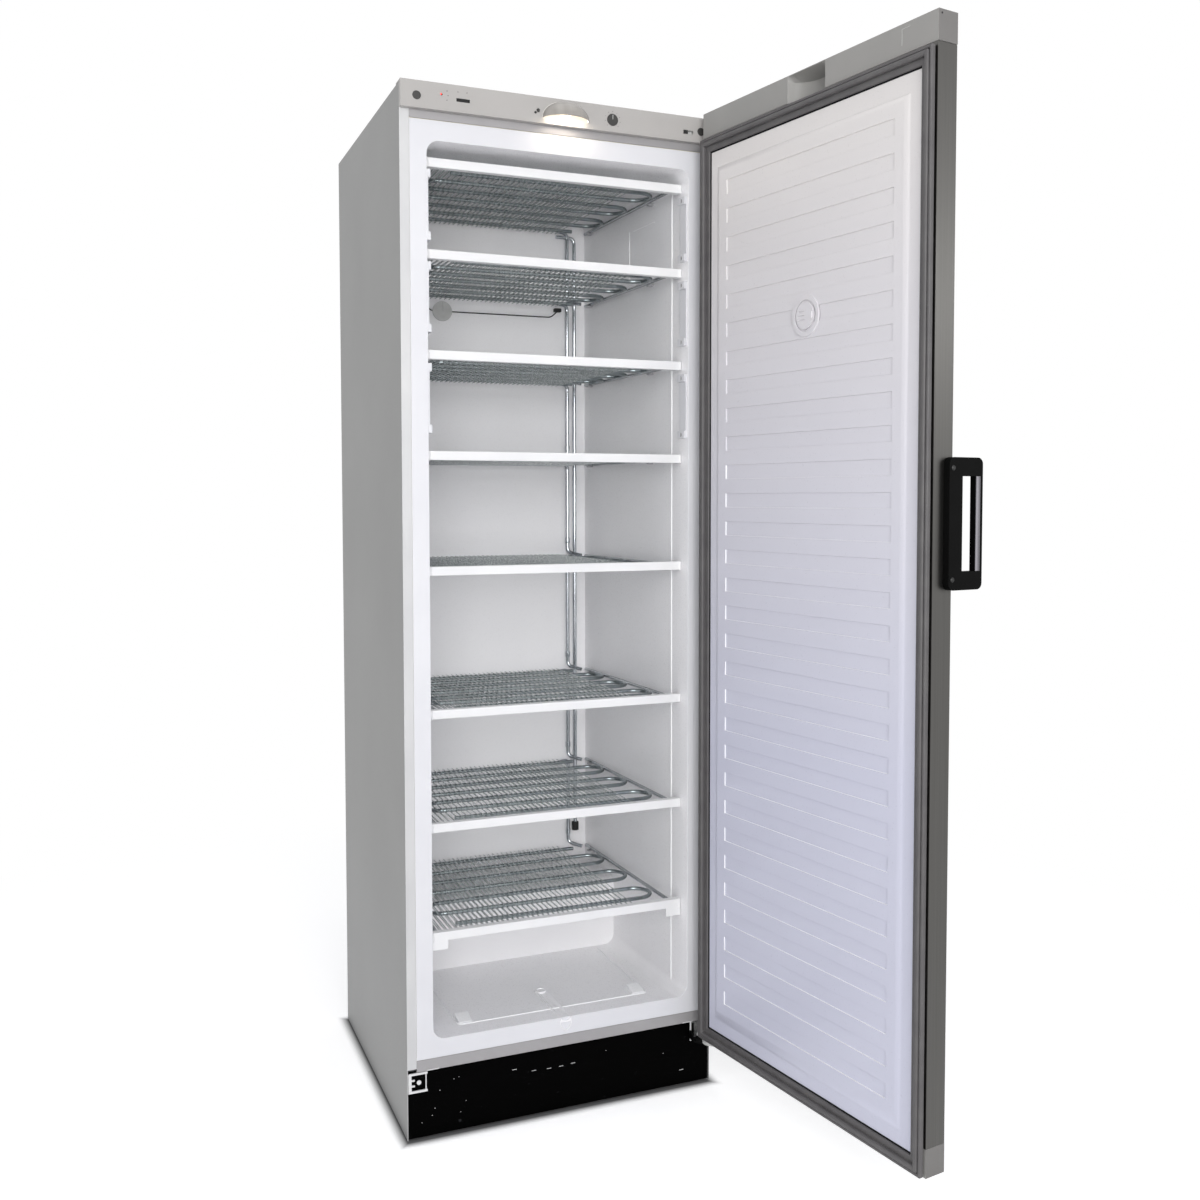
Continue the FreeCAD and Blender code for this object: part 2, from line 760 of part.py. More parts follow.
corners = [(front + " + kickRecess", "panelBottom"), (front + " + kickRecess", "kickTop")]
corners += [(front + " + kickRecess + kickReturn", "kickTop")]
corners += [(front + " + kickRecess + kickReturn", "kickTop - kickWall")]
corners += [(front + " + kickRecess + kickWall", "kickTop - kickWall")]
corners += [(front + " + kickRecess + kickWall", "panelBottom + kickWall")]
corners += [(front + " + kickRecess + kickReturn", "panelBottom + kickWall")]
corners += [(front + " + kickRecess + kickReturn", "panelBottom")]
keep(slab("kick_plate", "YZ", corners, "-" + panelFit, panelFit))


def levellingFoot(label, sign):
    """A moulded disc under a threaded stud that climbs into the nut on the cross member."""
    profile = [("0", "0"), ("footRadius", "0"), ("footRadius", "footThickness * 0.6")]
    profile += [("footRadius * 0.7", "footThickness"), ("studRadius", "footThickness")]
    profile += [("studRadius", runnerTop + " + 4"), ("0", runnerTop + " + 4")]
    return place(facetTurned(label, profile, 24), sign + "footOffset", footY, "0")


keep(levellingFoot("foot_left", "-"))
keep(levellingFoot("foot_right", ""))


def rearRoller(label, sign):
    """A wheel with bevelled rims, bored to run on the riveted axle."""
    bore = "(axleRadius + runningGap) * %.4f" % (1 / math.cos(math.pi / 24))
    profile = [(bore, "-rollerWidth / 2"), ("rollerRadius - 1.5", "-rollerWidth / 2")]
    profile += [("rollerRadius", "-rollerWidth / 2 + 1.5"), ("rollerRadius", "rollerWidth / 2 - 1.5")]
    profile += [("rollerRadius - 1.5", "rollerWidth / 2"), (bore, "rollerWidth / 2")]
    return place(facetTurned(label, profile, 24), sign + rollerX, rollerY, "rollerRadius", alongX)


keep(rearRoller("roller_left", "-"))
keep(rearRoller("roller_right", ""))


# ---- liner and foam ----------------------------------------------------------------------------------

def cavity(label, grow):
    """The room inside the liner, grown outwards; it narrows to the back and steps up at the machine."""
    body = newBody(label)
    loft = body.newObject("PartDesign::AdditiveLoft", label + "Loft")
    stations = [("0", "openingWidth", "openingBottom", "openingTop")]
    stations += [("creaseDepth", "creaseWidth", "creaseFloor", "creaseCeiling")]
    stations += [("cavityDepth + " + grow, "cavityBackWidth", "creaseFloor", "creaseCeiling")]
    sketches = []
    for depth, width, low, high in stations:
        sketch = newSketch(body, "XZ", "-(%s + %s)" % (front, depth))
        side = "(%s) / 2 + %s" % (width, grow)
        drawRounded(sketch, "-(%s)" % side, side, "%s - %s" % (low, grow), "%s + %s" % (high, grow),
                    "openingRadius + " + grow)
        sketches.append(sketch)
    loft.Profile = sketches[0]
    loft.Sections = sketches[1:]
    loft.Ruled = True
    hump = front + " + humpDepth + " + grow
    deep = front + " + cavityDepth + 20"
    corners = [(hump, "creaseFloor - 30"), (hump, "humpTop - humpRadius - " + grow)]
    corners += [(hump + " + humpRadius * 0.3", "humpTop - humpRadius * 0.3 - " + grow)]
    corners += [(hump + " + humpRadius", "humpTop - " + grow), (deep, "humpTop - " + grow)]
    corners += [(deep, "creaseFloor - 30")]
    return cut(body, "YZ", corners, "-openingWidth", "openingWidth")


rim = slab("liner_rim", "XZ", rect("-" + rimHalf, rimHalf, "rimBottom", "rimTop"), front,
           front + " + linerWall")
shell = cavity("liner_shell", "linerWall")
room = cavity("liner_room", "0")
liner = doc.addObject("Part::Cut", "inner_liner")
liner.Base = doc.addObject("Part::Fuse", "liner_whole")
liner.Base.Base = rim
liner.Base.Tool = shell
liner.Tool = room
liner.Label = "inner_liner"
keep(liner)

foamFront = "(-cabinetDepth / 2 + linerWall + seamGap)"
foamTop = "(panelTop - steelSheet - seamGap)"
foamLow = "(bottomRailBottom + steelSheet + seamGap)"
foamStep = "(-cabinetDepth / 2 + railLeg + seamGap)"
corners = [(foamStep, foamLow), (machineFront + " - seamGap", foamLow)]
corners += [(machineFront + " - seamGap", roofTop + " + seamGap"),
            (backPanel + " - seamGap", roofTop + " + seamGap")]
corners += [(backPanel + " - seamGap", foamTop), (front + " + trayDepth + steelSheet + seamGap", foamTop)]
corners += [(front + " + trayDepth + steelSheet + seamGap", "trayLevel - steelSheet - seamGap")]
corners += [(foamFront, "trayLevel - steelSheet - seamGap"), (foamFront, "rimBottom - 2 * steelSheet")]
corners += [(foamStep, "rimBottom - 2 * steelSheet")]
foam = doc.addObject("Part::Cut", "insulation_foam")
foam.Base = slab("foam_block", "YZ", corners, "-" + panelFit, panelFit)
foam.Tool = cavity("foam_room", "(linerWall + seamGap)")
foam.Label = "insulation_foam"
keep(foam)


# ---- control fascia and what sits in it --------------------------------------------------------------

fasciaBack = "(-cabinetDepth / 2 - seamGap)"
fasciaInner = "(-cabinetDepth / 2 - fasciaStandOff + fasciaWall)"
corners = [(fasciaBack, "fasciaBottom"), (fasciaFront, "fasciaBottom"), (fasciaFront, "cabinetHeight")]
corners += [(front + " + fasciaLip", "cabinetHeight"),
            (front + " + fasciaLip", "cabinetHeight - fasciaWall")]
corners += [(fasciaInner, "cabinetHeight - fasciaWall"), (fasciaInner, "fasciaBottom + fasciaWall")]
corners += [(fasciaBack, "fasciaBottom + fasciaWall")]
fascia = slab("control_fascia", "YZ", corners, "-cabinetWidth / 2", half)
for low, high in (("-cabinetWidth / 2", "-cabinetWidth / 2 + fasciaWall"), (half + " - fasciaWall", half)):
    pad(fascia, "YZ", rect(fasciaFront, fasciaBack, "fasciaBottom", "cabinetHeight"), low, high)


def pierce(shape):
    """A hole through the fascia's front wall."""
    return cut(fascia, "XZ", shape, fasciaFront + " - 1", fasciaInner + " + 1")


plugX = "(cabinetWidth / 2 - plugInset)"
for across in ("-" + plugX, plugX):
    pierce(roundHole(across, "plugLevel", "stemRadius + fineFit", 12))
pierce(roundHole("-lampOffset", "lampLevel", "lampRadius + fineFit", 12))
displayLeft = "(-displayOffset - displayLength / 2)"
displayRight = "(-displayOffset + displayLength / 2)"
displayLow = "(displayLevel - displayHeight / 2)"
displayHigh = "(displayLevel + displayHeight / 2)"
pierce(rect(displayLeft, displayRight, displayLow, displayHigh))
pierce(roundHole("knobOffset", "panelLevel", "knobRadius + fineFit", 20))
pierce(roundHole("-plungerOffset", "panelLevel", "plungerRadius + fineFit", 12))
switchLeft = "(switchOffset - switchLength / 2)"
switchRight = "(switchOffset + switchLength / 2)"
pierce(rect(switchLeft, switchRight, "switchLevel - switchHeight / 2", "switchLevel + switchHeight / 2"))
aperture = "(bulbRadius + 4)"
bulbLevel = "(cowlBottom + cowlReach / 2)"
pierce(roundHole("0", bulbLevel, aperture + " + fineFit", 16))
notch = rect(axisX + " - plateHalf - seamGap", half + " - fasciaWall",
             fasciaBack + " - plateGauge - seamGap", fasciaBack + " + 1")
cut(fascia, "XY", notch, "fasciaBottom - 1", "fasciaBottom + fasciaWall + 1")
keep(fascia)


def facePlug(label, across):
    """A round cap on a stem that closes a screw hole."""
    profile = [("0", "-fasciaWall - 2"), ("stemRadius", "-fasciaWall - 2"), ("stemRadius", "0"),
               ("plugRadius", "0")]
    profile += [("plugRadius", "plugProud / 2"), ("plugRadius - plugProud", "plugProud"),
                ("0", "plugProud")]
    return place(facetTurned(label, profile, 16), across, fasciaFront, "plugLevel", facingFront)


keep(group("fascia_plugs", [facePlug("plug_left", "-" + plugX), facePlug("plug_right", plugX)]))

window = rect(displayLeft + " + fineFit", displayRight + " - fineFit",
              displayLow + " + fineFit", displayHigh + " - fineFit")
module = slab("display_window", "XZ", window, fasciaFront + " + seamGap", fasciaInner + " + seamGap")
board = rect("-lampOffset - 6", displayRight + " + 8", "panelLevel - 12", "panelLevel + 16")
pad(module, "XZ", board, fasciaInner + " + seamGap", fasciaInner + " + seamGap + 4")
diode = roundHole("-lampOffset", "lampLevel", "lampRadius", 12)
pad(module, "XZ", diode, fasciaFront + " - seamGap", fasciaInner + " + seamGap")
module.Label = "indicator_module"
keep(module)

spindle = [("0", "-fasciaWall - 12"), ("knobSpindle", "-fasciaWall - 12"), ("knobSpindle", "-1.5")]
spindle += [("knobRadius", "-1.5"), ("knobRadius", "knobProud * 0.5"), ("knobRadius - 0.6", "knobProud")]
spindle += [("0", "knobProud")]
keep(place(facetTurned("thermostat_knob", spindle, 20), "knobOffset", fasciaFront, "panelLevel",
           facingFront))

bodyFace = "(-cabinetDepth / 2 - fasciaStandOff + fasciaWall + seamGap)"
outline = rect("knobOffset - thermostatHalf", "knobOffset + thermostatHalf",
               "panelLevel - thermostatHalf", "panelLevel + thermostatHalf")
thermostat = slab("thermostat_body", "XZ", outline, bodyFace, bodyFace + " + thermostatDepth")
spindleHole = roundHole("knobOffset", "panelLevel", "knobSpindle + runningGap", 20)
cut(thermostat, "XZ", spindleHole, bodyFace + " - 1", bodyFace + " + thermostatDepth / 2")
keep(thermostat)

outline = rect("switchOffset - switchBodyHalf", "switchOffset + switchBodyHalf",
               "switchLevel - 0.6 * switchBodyHalf", "switchLevel + 0.6 * switchBodyHalf")
housing = slab("switch_housing", "XZ", outline, bodyFace, bodyFace + " + switchBodyDepth")
slideWay = rect(switchLeft, switchRight, "switchLevel - switchHeight / 2", "switchLevel + switchHeight / 2")
cut(housing, "XZ", slideWay, bodyFace + " - 1", bodyFace + " + 5")
keep(housing)
sliderBox = rect(switchLeft + " + 2 * fineFit", switchLeft + " + 2 * fineFit + sliderLength",
                 "switchLevel - switchHeight / 2 + seamGap", "switchLevel + switchHeight / 2 - seamGap")
keep(slab("switch_slider", "XZ", sliderBox, fasciaFront + " - 1.2", bodyFace + " + 4.7"))

outline = rect("-plungerOffset - doorSwitchHalf", "-plungerOffset + doorSwitchHalf",
               "panelLevel - doorSwitchHalf", "panelLevel + doorSwitchHalf")
doorSwitch = slab("door_switch_body", "XZ", outline, bodyFace, bodyFace + " + doorSwitchDepth")
bore = roundHole("-plungerOffset", "panelLevel", "plungerRadius + runningGap", 12)
cut(doorSwitch, "XZ", bore, bodyFace + " - 1", bodyFace + " + doorSwitchDepth - 6")
keep(doorSwitch)
profile = [("0", "-fasciaWall - 12"), ("plungerRadius", "-fasciaWall - 12"),
           ("plungerRadius", "plungerProud - 0.6")]
profile += [("plungerRadius - 0.6", "plungerProud"), ("0", "plungerProud")]
plunger = facetTurned("door_switch_plunger", profile, 12)
keep(place(plunger, "-plungerOffset", fasciaFront, "panelLevel", facingFront))


chords = 10
profile = []
for shrink, order in (("", range(chords + 1)), (" - cowlWall", range(chords, -1, -1))):
    for step in order:
        turn = math.pi * step / chords
        profile.append(("(cowlReach%s) * %.4f" % (shrink, math.sin(turn)),
                        "(cowlHalfWidth%s) * %.4f" % (shrink, math.cos(turn))))
hood = facetTurned("lamp_cowl", profile, 6, 90)
hoodTurn = FreeCAD.Rotation(Vector(0, -1, 0), Vector(0, 0, 1), Vector(-1, 0, 0), "XYZ")
keep(place(hood, "0", fasciaFront + " - seamGap", "cowlBottom", hoodTurn))

profile = [("0", "-fasciaWall"), ("bulbRadius * 0.6", "-fasciaWall"), ("bulbRadius * 0.6", "2")]
profile += [("bulbRadius", "8"), ("bulbRadius", "13"), ("bulbRadius * 0.6", "18"), ("0", "19")]
keep(place(facetTurned("lamp_bulb", profile, 16), "0", fasciaFront, bulbLevel, facingFront))
profile = [("0", "-24"), (aperture, "-24"), (aperture, "-fasciaWall / 2"),
           ("bulbRadius * 0.6 + 0.1", "-fasciaWall / 2")]
profile += [("bulbRadius * 0.6 + 0.1", "-fasciaWall - 0.1"), ("0", "-fasciaWall - 0.1")]
keep(place(facetTurned("lamp_holder", profile, 16), "0", fasciaFront, bulbLevel, facingFront))


# ---- evaporator shelves ------------------------------------------------------------------------------

coilFront = value("firstPass") - value("cabinetDepth") / 2
coilBack = coilFront + value("passPitch") * (value("passCount") - 1)
wireFront = value("trimFace") + value("trimWall") + 0.4 - value("cabinetDepth") / 2
wireBack = coilBack + value("wireTail")
flat = value("tubeRadius") * math.cos(math.pi / 6)
up = Vector(0, 0, 1)


def shelfGrid():
    """A flat coil of refrigerant tube with cross wires laid on it and a bar along each side."""
    coil = serpentine(value("coilHalfWidth"), coilFront, value("passPitch"), round(value("passCount")), 0)
    solids = [mitredTube(coil, value("tubeRadius"), up)]
    side = value("wireSide")
    count = int((value("wireStart") + value("wireEnd")) / value("wirePitch")) + 1
    for index in range(count):
        corner = Vector(value("wirePitch") * index - value("wireStart"), wireFront, flat)
        solids.append(Part.makeBox(side, wireBack - wireFront, side, corner))
    for sign in (-1, 1):
        path = [Vector(sign * value("railFront"), wireFront, 0),
                Vector(sign * value("railBack"), wireBack, 0)]
        solids.append(mitredTube(path, value("railSide") * 0.5, up, 4))
    return Part.Compound(solids)


grid = shelfGrid()
for number, alias in enumerate(shelfAliases, start=1):
    keep(place(feature("evaporator_shelf_%d" % number, grid), "0", "0", alias))

trimTaper = "creaseTaper / 2 * (trimFace + trimDepth) / creaseDepth"
trimHalf = "(openingWidth / 2 - %s - trimGap)" % trimTaper
trimFront = "(-cabinetDepth / 2 + trimFace)"
trimBack = "(-cabinetDepth / 2 + trimFace + trimDepth)"


def shelfTrim(number, alias):
    """A channel that clips over the front ends of the wires, closed at both ends."""
    low = "(%s - trimHeight / 2)" % alias
    high = "(%s + trimHeight / 2)" % alias
    corners = [(trimFront, low), (trimFront, high), (trimBack, high), (trimBack, high + " - trimWall")]
    corners += [(trimFront + " + trimWall", high + " - trimWall"),
                (trimFront + " + trimWall", low + " + trimWall")]
    corners += [(trimBack, low + " + trimWall"), (trimBack, low)]
    body = slab("trim_%d" % number, "YZ", corners, "-" + trimHalf, trimHalf)
    for left, right in (("-" + trimHalf, "-%s + trimWall" % trimHalf),
                        (trimHalf + " - trimWall", trimHalf)):
        pad(body, "YZ", rect(trimFront, trimBack, low, high), left, right)
    if number == len(shelfAliases):
        for left, right in (("-" + trimHalf, "-%s + tabWidth" % trimHalf),
                            (trimHalf + " - tabWidth", trimHalf)):
            tab = rect(left, right, low + " - tabDrop", low)
            pad(body, "XZ", tab, trimFront, trimFront + " + trimWall")
    return body


trims = [shelfTrim(number, alias) for number, alias in enumerate(shelfAliases, start=1)]
keep(group("shelf_trims", trims))


def wallAt(depth):
    """Half the width of the room behind the crease, at a depth from the front."""
    share = (depth - value("creaseDepth")) / (value("cavityDepth") - value("creaseDepth"))
    return (value("creaseWidth") + (value("cavityBackWidth") - value("creaseWidth")) * share) / 2


def supportNubs():
    """Four moulded nubs under the side bars of every shelf."""
    solids = []
    width = value("supportWidth")
    for alias in shelfAliases:
        top = value(alias) - value("railSide") * 0.5
        for depth in (value("firstPass") + value("passPitch"),
                      value("firstPass") + value("passPitch") * 5.8):
            wall = wallAt(depth + width / 2) - value("wallGap")
            along = depth - width / 2 - value("cabinetDepth") / 2
            for left in (-wall, wall - value("supportReach")):
                corner = Vector(left, along, top - value("supportHeight"))
                solids.append(Part.makeBox(value("supportReach"), width, value("supportHeight"), corner))
    return Part.Compound(solids)


keep(feature("shelf_supports", supportNubs()))

backWall = value("cavityDepth") - value("cabinetDepth") / 2
riserY = backWall - value("riserInset")
leadY = coilBack + 2 * value("tubeRadius") + 0.3


def riserTubes():
    """One tube drops from shelf to shelf, turning in above the lower coil; the other runs straight down."""
    radius = value("tubeRadius")
    levels = [value(alias) for alias in shelfAliases]
    solids = []
    for upper, lower in zip(levels, levels[1:]):
        points = [Vector(value("riserLead"), leadY, upper), Vector(value("riserOne"), riserY, upper)]
        foot = Vector(value("riserOne"), riserY, lower + 2.25 * radius)
        tail = Vector(value("riserTail"), -value("riserTailDepth"), -value("riserTailDrop"))
        points += [foot, foot + tail]
        solids.append(mitredTube(bentPath(points, value("bendRadius"), 2), radius, up))
    top = levels[0] - 2.4 * radius
    points = [Vector(value("riserLead"), riserY - 1, top), Vector(value("riserTwo"), riserY, top)]
    points += [Vector(value("riserTwo"), riserY, value("grommetLevel") - 6)]
    solids.append(mitredTube(bentPath(points, value("bendRadius"), 3), radius, up))
    return Part.Compound(solids)


keep(feature("riser_tubes", riserTubes()))

profile = [("0", "-10"), ("riserInset - 0.2", "-10"), ("riserInset - 0.2", "8"), ("tubeRadius + 0.6", "8")]
profile += [("tubeRadius + 0.6", "-6.5"), ("0", "-6.5")]
keep(place(facetTurned("riser_grommet", profile, 12), "riserTwo",
           front + " + cavityDepth - riserInset", "grommetLevel"))


def flapStrip(number, alias, sign):
    """A clip strip on the wall beside the opening, with a bossed end above and below."""
    near = "stripFront"
    far = "(stripFront + stripWidth)"

    def outline(reach):
        """Plan of the strip: its back lies along the tapering wall."""
        corners = []
        for depth, stand in ((near, "wallGap"), (far, "wallGap"), (far, reach), (near, reach)):
            wall = "(openingWidth / 2 - creaseTaper / 2 * %s / creaseDepth - %s)" % (depth, stand)
            corners.append(("%s * %s" % (sign, wall), front + " + " + depth))
        return corners

    high = "(%s - stripDrop)" % alias
    low = "(%s - stripDrop - stripLength)" % alias
    label = "strip_%d_%s" % (number, "left" if sign == "-1" else "right")
    body = slab(label, "XY", outline("stripWall"), low, high)
    pad(body, "XY", outline("stripReach"), high + " - stripBoss", high)
    return pad(body, "XY", outline("stripReach"), low, low + " + stripBoss")


strips = []
for number, alias in enumerate(shelfAliases[:3], start=1):
    strips += [flapStrip(number, alias, "-1"), flapStrip(number, alias, "1")]
keep(group("flap_strips", strips))


def thermostatSensor():
    """A round sensor flat on the back wall, with its capillary tube in two runs."""
    radius = value("capillaryRadius")
    face = backWall - 0.3
    centre = Vector(-value("sensorOffset"), face, value("sensorLevel"))
    disc = prism(centre, Vector(0, -1, 0), value("sensorRadius"), value("sensorThickness"))
    along = face - radius - 0.5
    reach = value("sensorOffset") - value("sensorRadius") - 0.2
    level = value("sensorLevel")
    lead = value("riserLead")
    run = [Vector(-reach, along, level), Vector(lead - 10, along, level + 1)]
    run += [Vector(lead + 6, along, value("shelfTwo") - 12)]
    left = -value("sensorOffset") - value("sensorRadius") - 0.2
    rise = [Vector(left, along, level), Vector(left - 9, along, level + 6)]
    rise += [Vector(left - 12, along, value("shelfTwo") + 20)]
    tubes = [mitredTube(bentPath(run, 8, 3), radius, Vector(0, 1, 0))]
    tubes.append(mitredTube(bentPath(rise, 4, 2), radius, Vector(0, 1, 0)))
    return Part.Compound([disc] + tubes)


keep(feature("temperature_sensor", thermostatSensor()))


# ---- machine space -----------------------------------------------------------------------------------

compressorY = "(cabinetDepth / 2 - compressorDepth)"
canFoot = "(baseBottom + runnerHeight + grommetHeight)"
canTop = "(baseBottom + runnerHeight + grommetHeight + compressorHeight)"
profile = [("0", "plateThickness"), ("compressorRadius * 0.8", "plateThickness")]
profile += [("compressorRadius", "compressorHeight * 0.12"),
            ("compressorRadius", "compressorHeight * 0.68")]
profile += [("compressorRadius * 0.86", "compressorHeight * 0.88"),
            ("compressorRadius * 0.5", "compressorHeight")]
profile += [("0", "compressorHeight")]
shell = facetTurned("compressor_can", profile, 24)
soles = rect("-footSpread - soleMargin", "footSpread + soleMargin", "-footSpread * 0.55 - soleMargin",
             "footSpread * 0.55 + soleMargin")
fittings = slab("compressor_fittings", "XY", soles, "0", "plateThickness")
terminal = rect("0", "compressorRadius + terminalReach", "-terminalHalf", "terminalHalf")
box = slab("compressor_terminals", "XY", terminal, "compressorHeight * 0.3", "compressorHeight * 0.6")
can = doc.addObject("Part::MultiFuse", "compressor")
can.Shapes = [shell, fittings, box]
can.Label = "compressor"
keep(place(can, "-compressorOffset", compressorY, canFoot))

pads = []
for across in ("-footSpread", "footSpread"):
    for along in ("-footSpread * 0.55", "footSpread * 0.55"):
        profile = [("0", "0"), ("11", "0"), ("11", "grommetHeight"), ("0", "grommetHeight")]
        rubber = facetTurned("rubber_foot_%d" % len(pads), profile, 12)
        pads.append(place(rubber, "-compressorOffset + " + across, compressorY + " + " + along, runnerTop))
keep(group("compressor_feet", pads))

corners = rect("-compressorOffset - trayHalf", "-compressorOffset + trayHalf", compressorY + " - trayHalf",
               compressorY + " + trayHalf")
well = rect("-compressorOffset - trayHalf + 2", "-compressorOffset + trayHalf - 2",
            compressorY + " - trayHalf + 2", compressorY + " + trayHalf - 2")
tray = slab("drain_tray", "XY", corners, canTop, canTop + " + trayHeight")
keep(cut(tray, "XY", well, canTop + " + 2", canTop + " + trayHeight + 1"))

condenserY = value("cabinetDepth") / 2 - value("backRecess") + value("steelSheet") + value("condenserGap")


def condenserGrid():
    """An upright coil behind the back panel, with wires down its outer side and four stand-off clips."""
    radius = value("condenserTube")
    outline = serpentine(value("condenserHalf"), value("condenserBottom"), value("condenserPitch"),
                         round(value("condenserRows")), 0)
    coil = [Vector(point.x, condenserY, point.y) for point in outline]
    solids = [mitredTube(coil, radius, Vector(0, 1, 0))]
    high = value("condenserBottom") + value("condenserPitch") * (value("condenserRows") - 1)
    reach = value("condenserHalf") - value("condenserPitch") / 2
    count = 13
    for index in range(count):
        left = -reach + 2 * reach * index / (count - 1)
        corner = Vector(left, condenserY + radius * math.cos(math.pi / 6), value("condenserBottom") - 15)
        solids.append(Part.makeBox(1.6, 1.6, high - value("condenserBottom") + 30, corner))
    clipDepth = value("condenserGap") - radius * math.cos(math.pi / 6)
    for level in (value("condenserBottom"), high):
        for left in (-reach * 0.6, reach * 0.6 - 20):
            corner = Vector(left, condenserY - value("condenserGap"), level - 10)
            solids.append(Part.makeBox(20, clipDepth, 20, corner))
    return Part.Compound(solids)


keep(feature("condenser", condenserGrid()))


def refrigerantLines():
    """The hot line to the condenser, and the drier on the way to the capillary."""
    radius = value("lineRadius")
    startX = -value("compressorOffset") + value("compressorRadius") + radius + 0.3
    startY = value("cabinetDepth") / 2 - value("compressorDepth")
    low = value("baseBottom + runnerHeight + grommetHeight + compressorHeight * 0.62")
    endX = -value("condenserHalf") + value("condenserPitch") / 2
    endZ = value("condenserBottom") - value("condenserTube") - radius - 0.3
    hot = [Vector(startX, startY, low), Vector(startX + 40, startY, low),
           Vector(startX + 40, condenserY, low)]
    hot += [Vector(startX + 40, condenserY, low + 90), Vector(endX, condenserY, low + 90),
            Vector(endX, condenserY, endZ)]
    tubes = [mitredTube(bentPath(hot, 14, 2), radius, up)]
    floor = value("baseBottom") + value("runnerHeight")
    drierX = value("cabinetWidth / 2 - drierInset")
    drier = prism(Vector(drierX, startY, floor), up, value("drierRadius"), value("drierLength"), 12)
    cold = [Vector(drierX, startY, floor + value("drierLength")),
            Vector(drierX, startY, floor + value("drierLength") + 60)]
    cold += [Vector(drierX, startY - 60, floor + value("drierLength") + 60)]
    tubes.append(mitredTube(bentPath(cold, 14, 2), radius, Vector(0, 1, 0)))
    return Part.Compound(tubes + [drier])


keep(feature("refrigerant_lines", refrigerantLines()))

inletX = "(-cabinetWidth / 2 + steelSheet + seamGap + postWidth / 2)"
inletZ = "(baseBottom + runnerHeight + inletHeight * 1.5)"
corners = rect(inletX + " - inletWidth / 2", inletX + " + inletWidth / 2", inletZ + " - inletHeight / 2",
               inletZ + " + inletHeight / 2")
inlet = slab("mains_inlet", "XZ", corners, backPanel, backPanel + " + inletDepth")
keep(cut(inlet, "XZ", (inletX, inletZ, "inletBore"), backPanel + " + 4", backPanel + " + inletDepth + 1"))


# ---- hinges ------------------------------------------------------------------------------------------

bracketRight = "(cabinetWidth / 2 - steelSheet - 2)"
bracketLeft = "(cabinetWidth / 2 - steelSheet - 2 - bracketWidth)"
bracketBack = "(-cabinetDepth / 2 + kickRecess)"
bracketFace = "(-cabinetDepth / 2 + kickRecess - bracketGauge)"
armEnd = "(-cabinetDepth / 2 - bracketArm)"
plateTop = "(lowerPlateLevel + lowerPlateGauge)"
bracket = slab("lower_hinge_bracket", "XZ", rect(bracketLeft, bracketRight, "bracketBottom", "bracketTop"),
               bracketFace, bracketBack)
arm = [(bracketLeft, bracketFace), (bracketRight + " + 1", bracketFace),
       (axisX + " + plateHalf - 2", axisY + " - plateHalf + 4")]
arm += [(axisX + " + plateHalf / 2", axisY + " - plateHalf"),
        (axisX + " - plateHalf / 2", axisY + " - plateHalf")]
arm += [(axisX + " - plateHalf", axisY + " - plateHalf + 4"), (bracketLeft, armEnd)]
pad(bracket, "XY", arm, "lowerPlateLevel", plateTop)
web = [(bracketFace, plateTop), (armEnd, plateTop), (armEnd, plateTop + " + 4"),
       (bracketFace, "doorBottom - 1")]
pad(bracket, "YZ", web, bracketLeft, bracketLeft + " + bracketGauge")
pad(bracket, "XY", (axisX, axisY, "pinRadius"), plateTop, "doorBottom + 16")
keep(bracket)

spareLeft = "(-cabinetWidth / 2 + spareInset)"
spareRight = "(-cabinetWidth / 2 + spareInset + bracketWidth - 3)"
spare = slab("spare_hinge_bracket", "XZ", rect(spareLeft, spareRight, "bracketBottom", "bracketTop"),
             bracketFace, bracketBack)
window = rect(spareLeft + " + frameBar", spareRight + " + 1", "bracketBottom + frameRail",
              "bracketTop - frameRail")
cut(spare, "XZ", window, bracketFace + " - 1", bracketBack + " + 1")
for level in ("bracketBottom + tongueInset", "bracketTop - tongueInset"):
    tongue = rect(spareLeft, spareLeft + " + tongueReach", level + " - 1.5", level + " + 1.5")
    pad(spare, "XZ", tongue, bracketFace, bracketBack)
keep(spare)

legFront = "(-cabinetDepth / 2 - seamGap - plateGauge)"
plateLeft = "(cabinetWidth / 2 - hingeInset - plateHalf)"
plateRight = "(cabinetWidth / 2 - fasciaWall - seamGap)"
upperTop = "(upperPlateLevel + plateGauge)"
hinge = slab("upper_hinge_plate", "XZ", rect(plateLeft, plateRight, "upperPlateLevel",
                                             "upperPlateLevel + upperPlateTab"),
             legFront, fasciaBack)
arm = [(plateLeft, legFront), (plateRight, legFront), (plateRight, axisY + " - plateHalf / 2")]
arm += [(axisX + " + plateHalf / 3", axisY + " - plateHalf"),
        (axisX + " - plateHalf / 2", axisY + " - plateHalf")]
arm += [(plateLeft, axisY + " - plateHalf / 2")]
pad(hinge, "XY", arm, "upperPlateLevel", upperTop)
pad(hinge, "XY", (axisX, axisY, "pinRadius"), upperTop, upperTop + " + pinLength")
keep(hinge)


# ---- door, drawn shut and then swung open about the pins ---------------------------------------------

hingeLine = Vector(value("cabinetWidth") / 2 - value("hingeInset"),
                   -value("cabinetDepth") / 2 - value("hingeAhead"), 0)
swing = FreeCAD.Placement(Vector(0, 0, 0), FreeCAD.Rotation(up, value("doorAngle")), hingeLine)
capBottom = "(cabinetHeight - capHeight)"


def hang(piece):
    piece.Placement = swing
    return keep(piece)


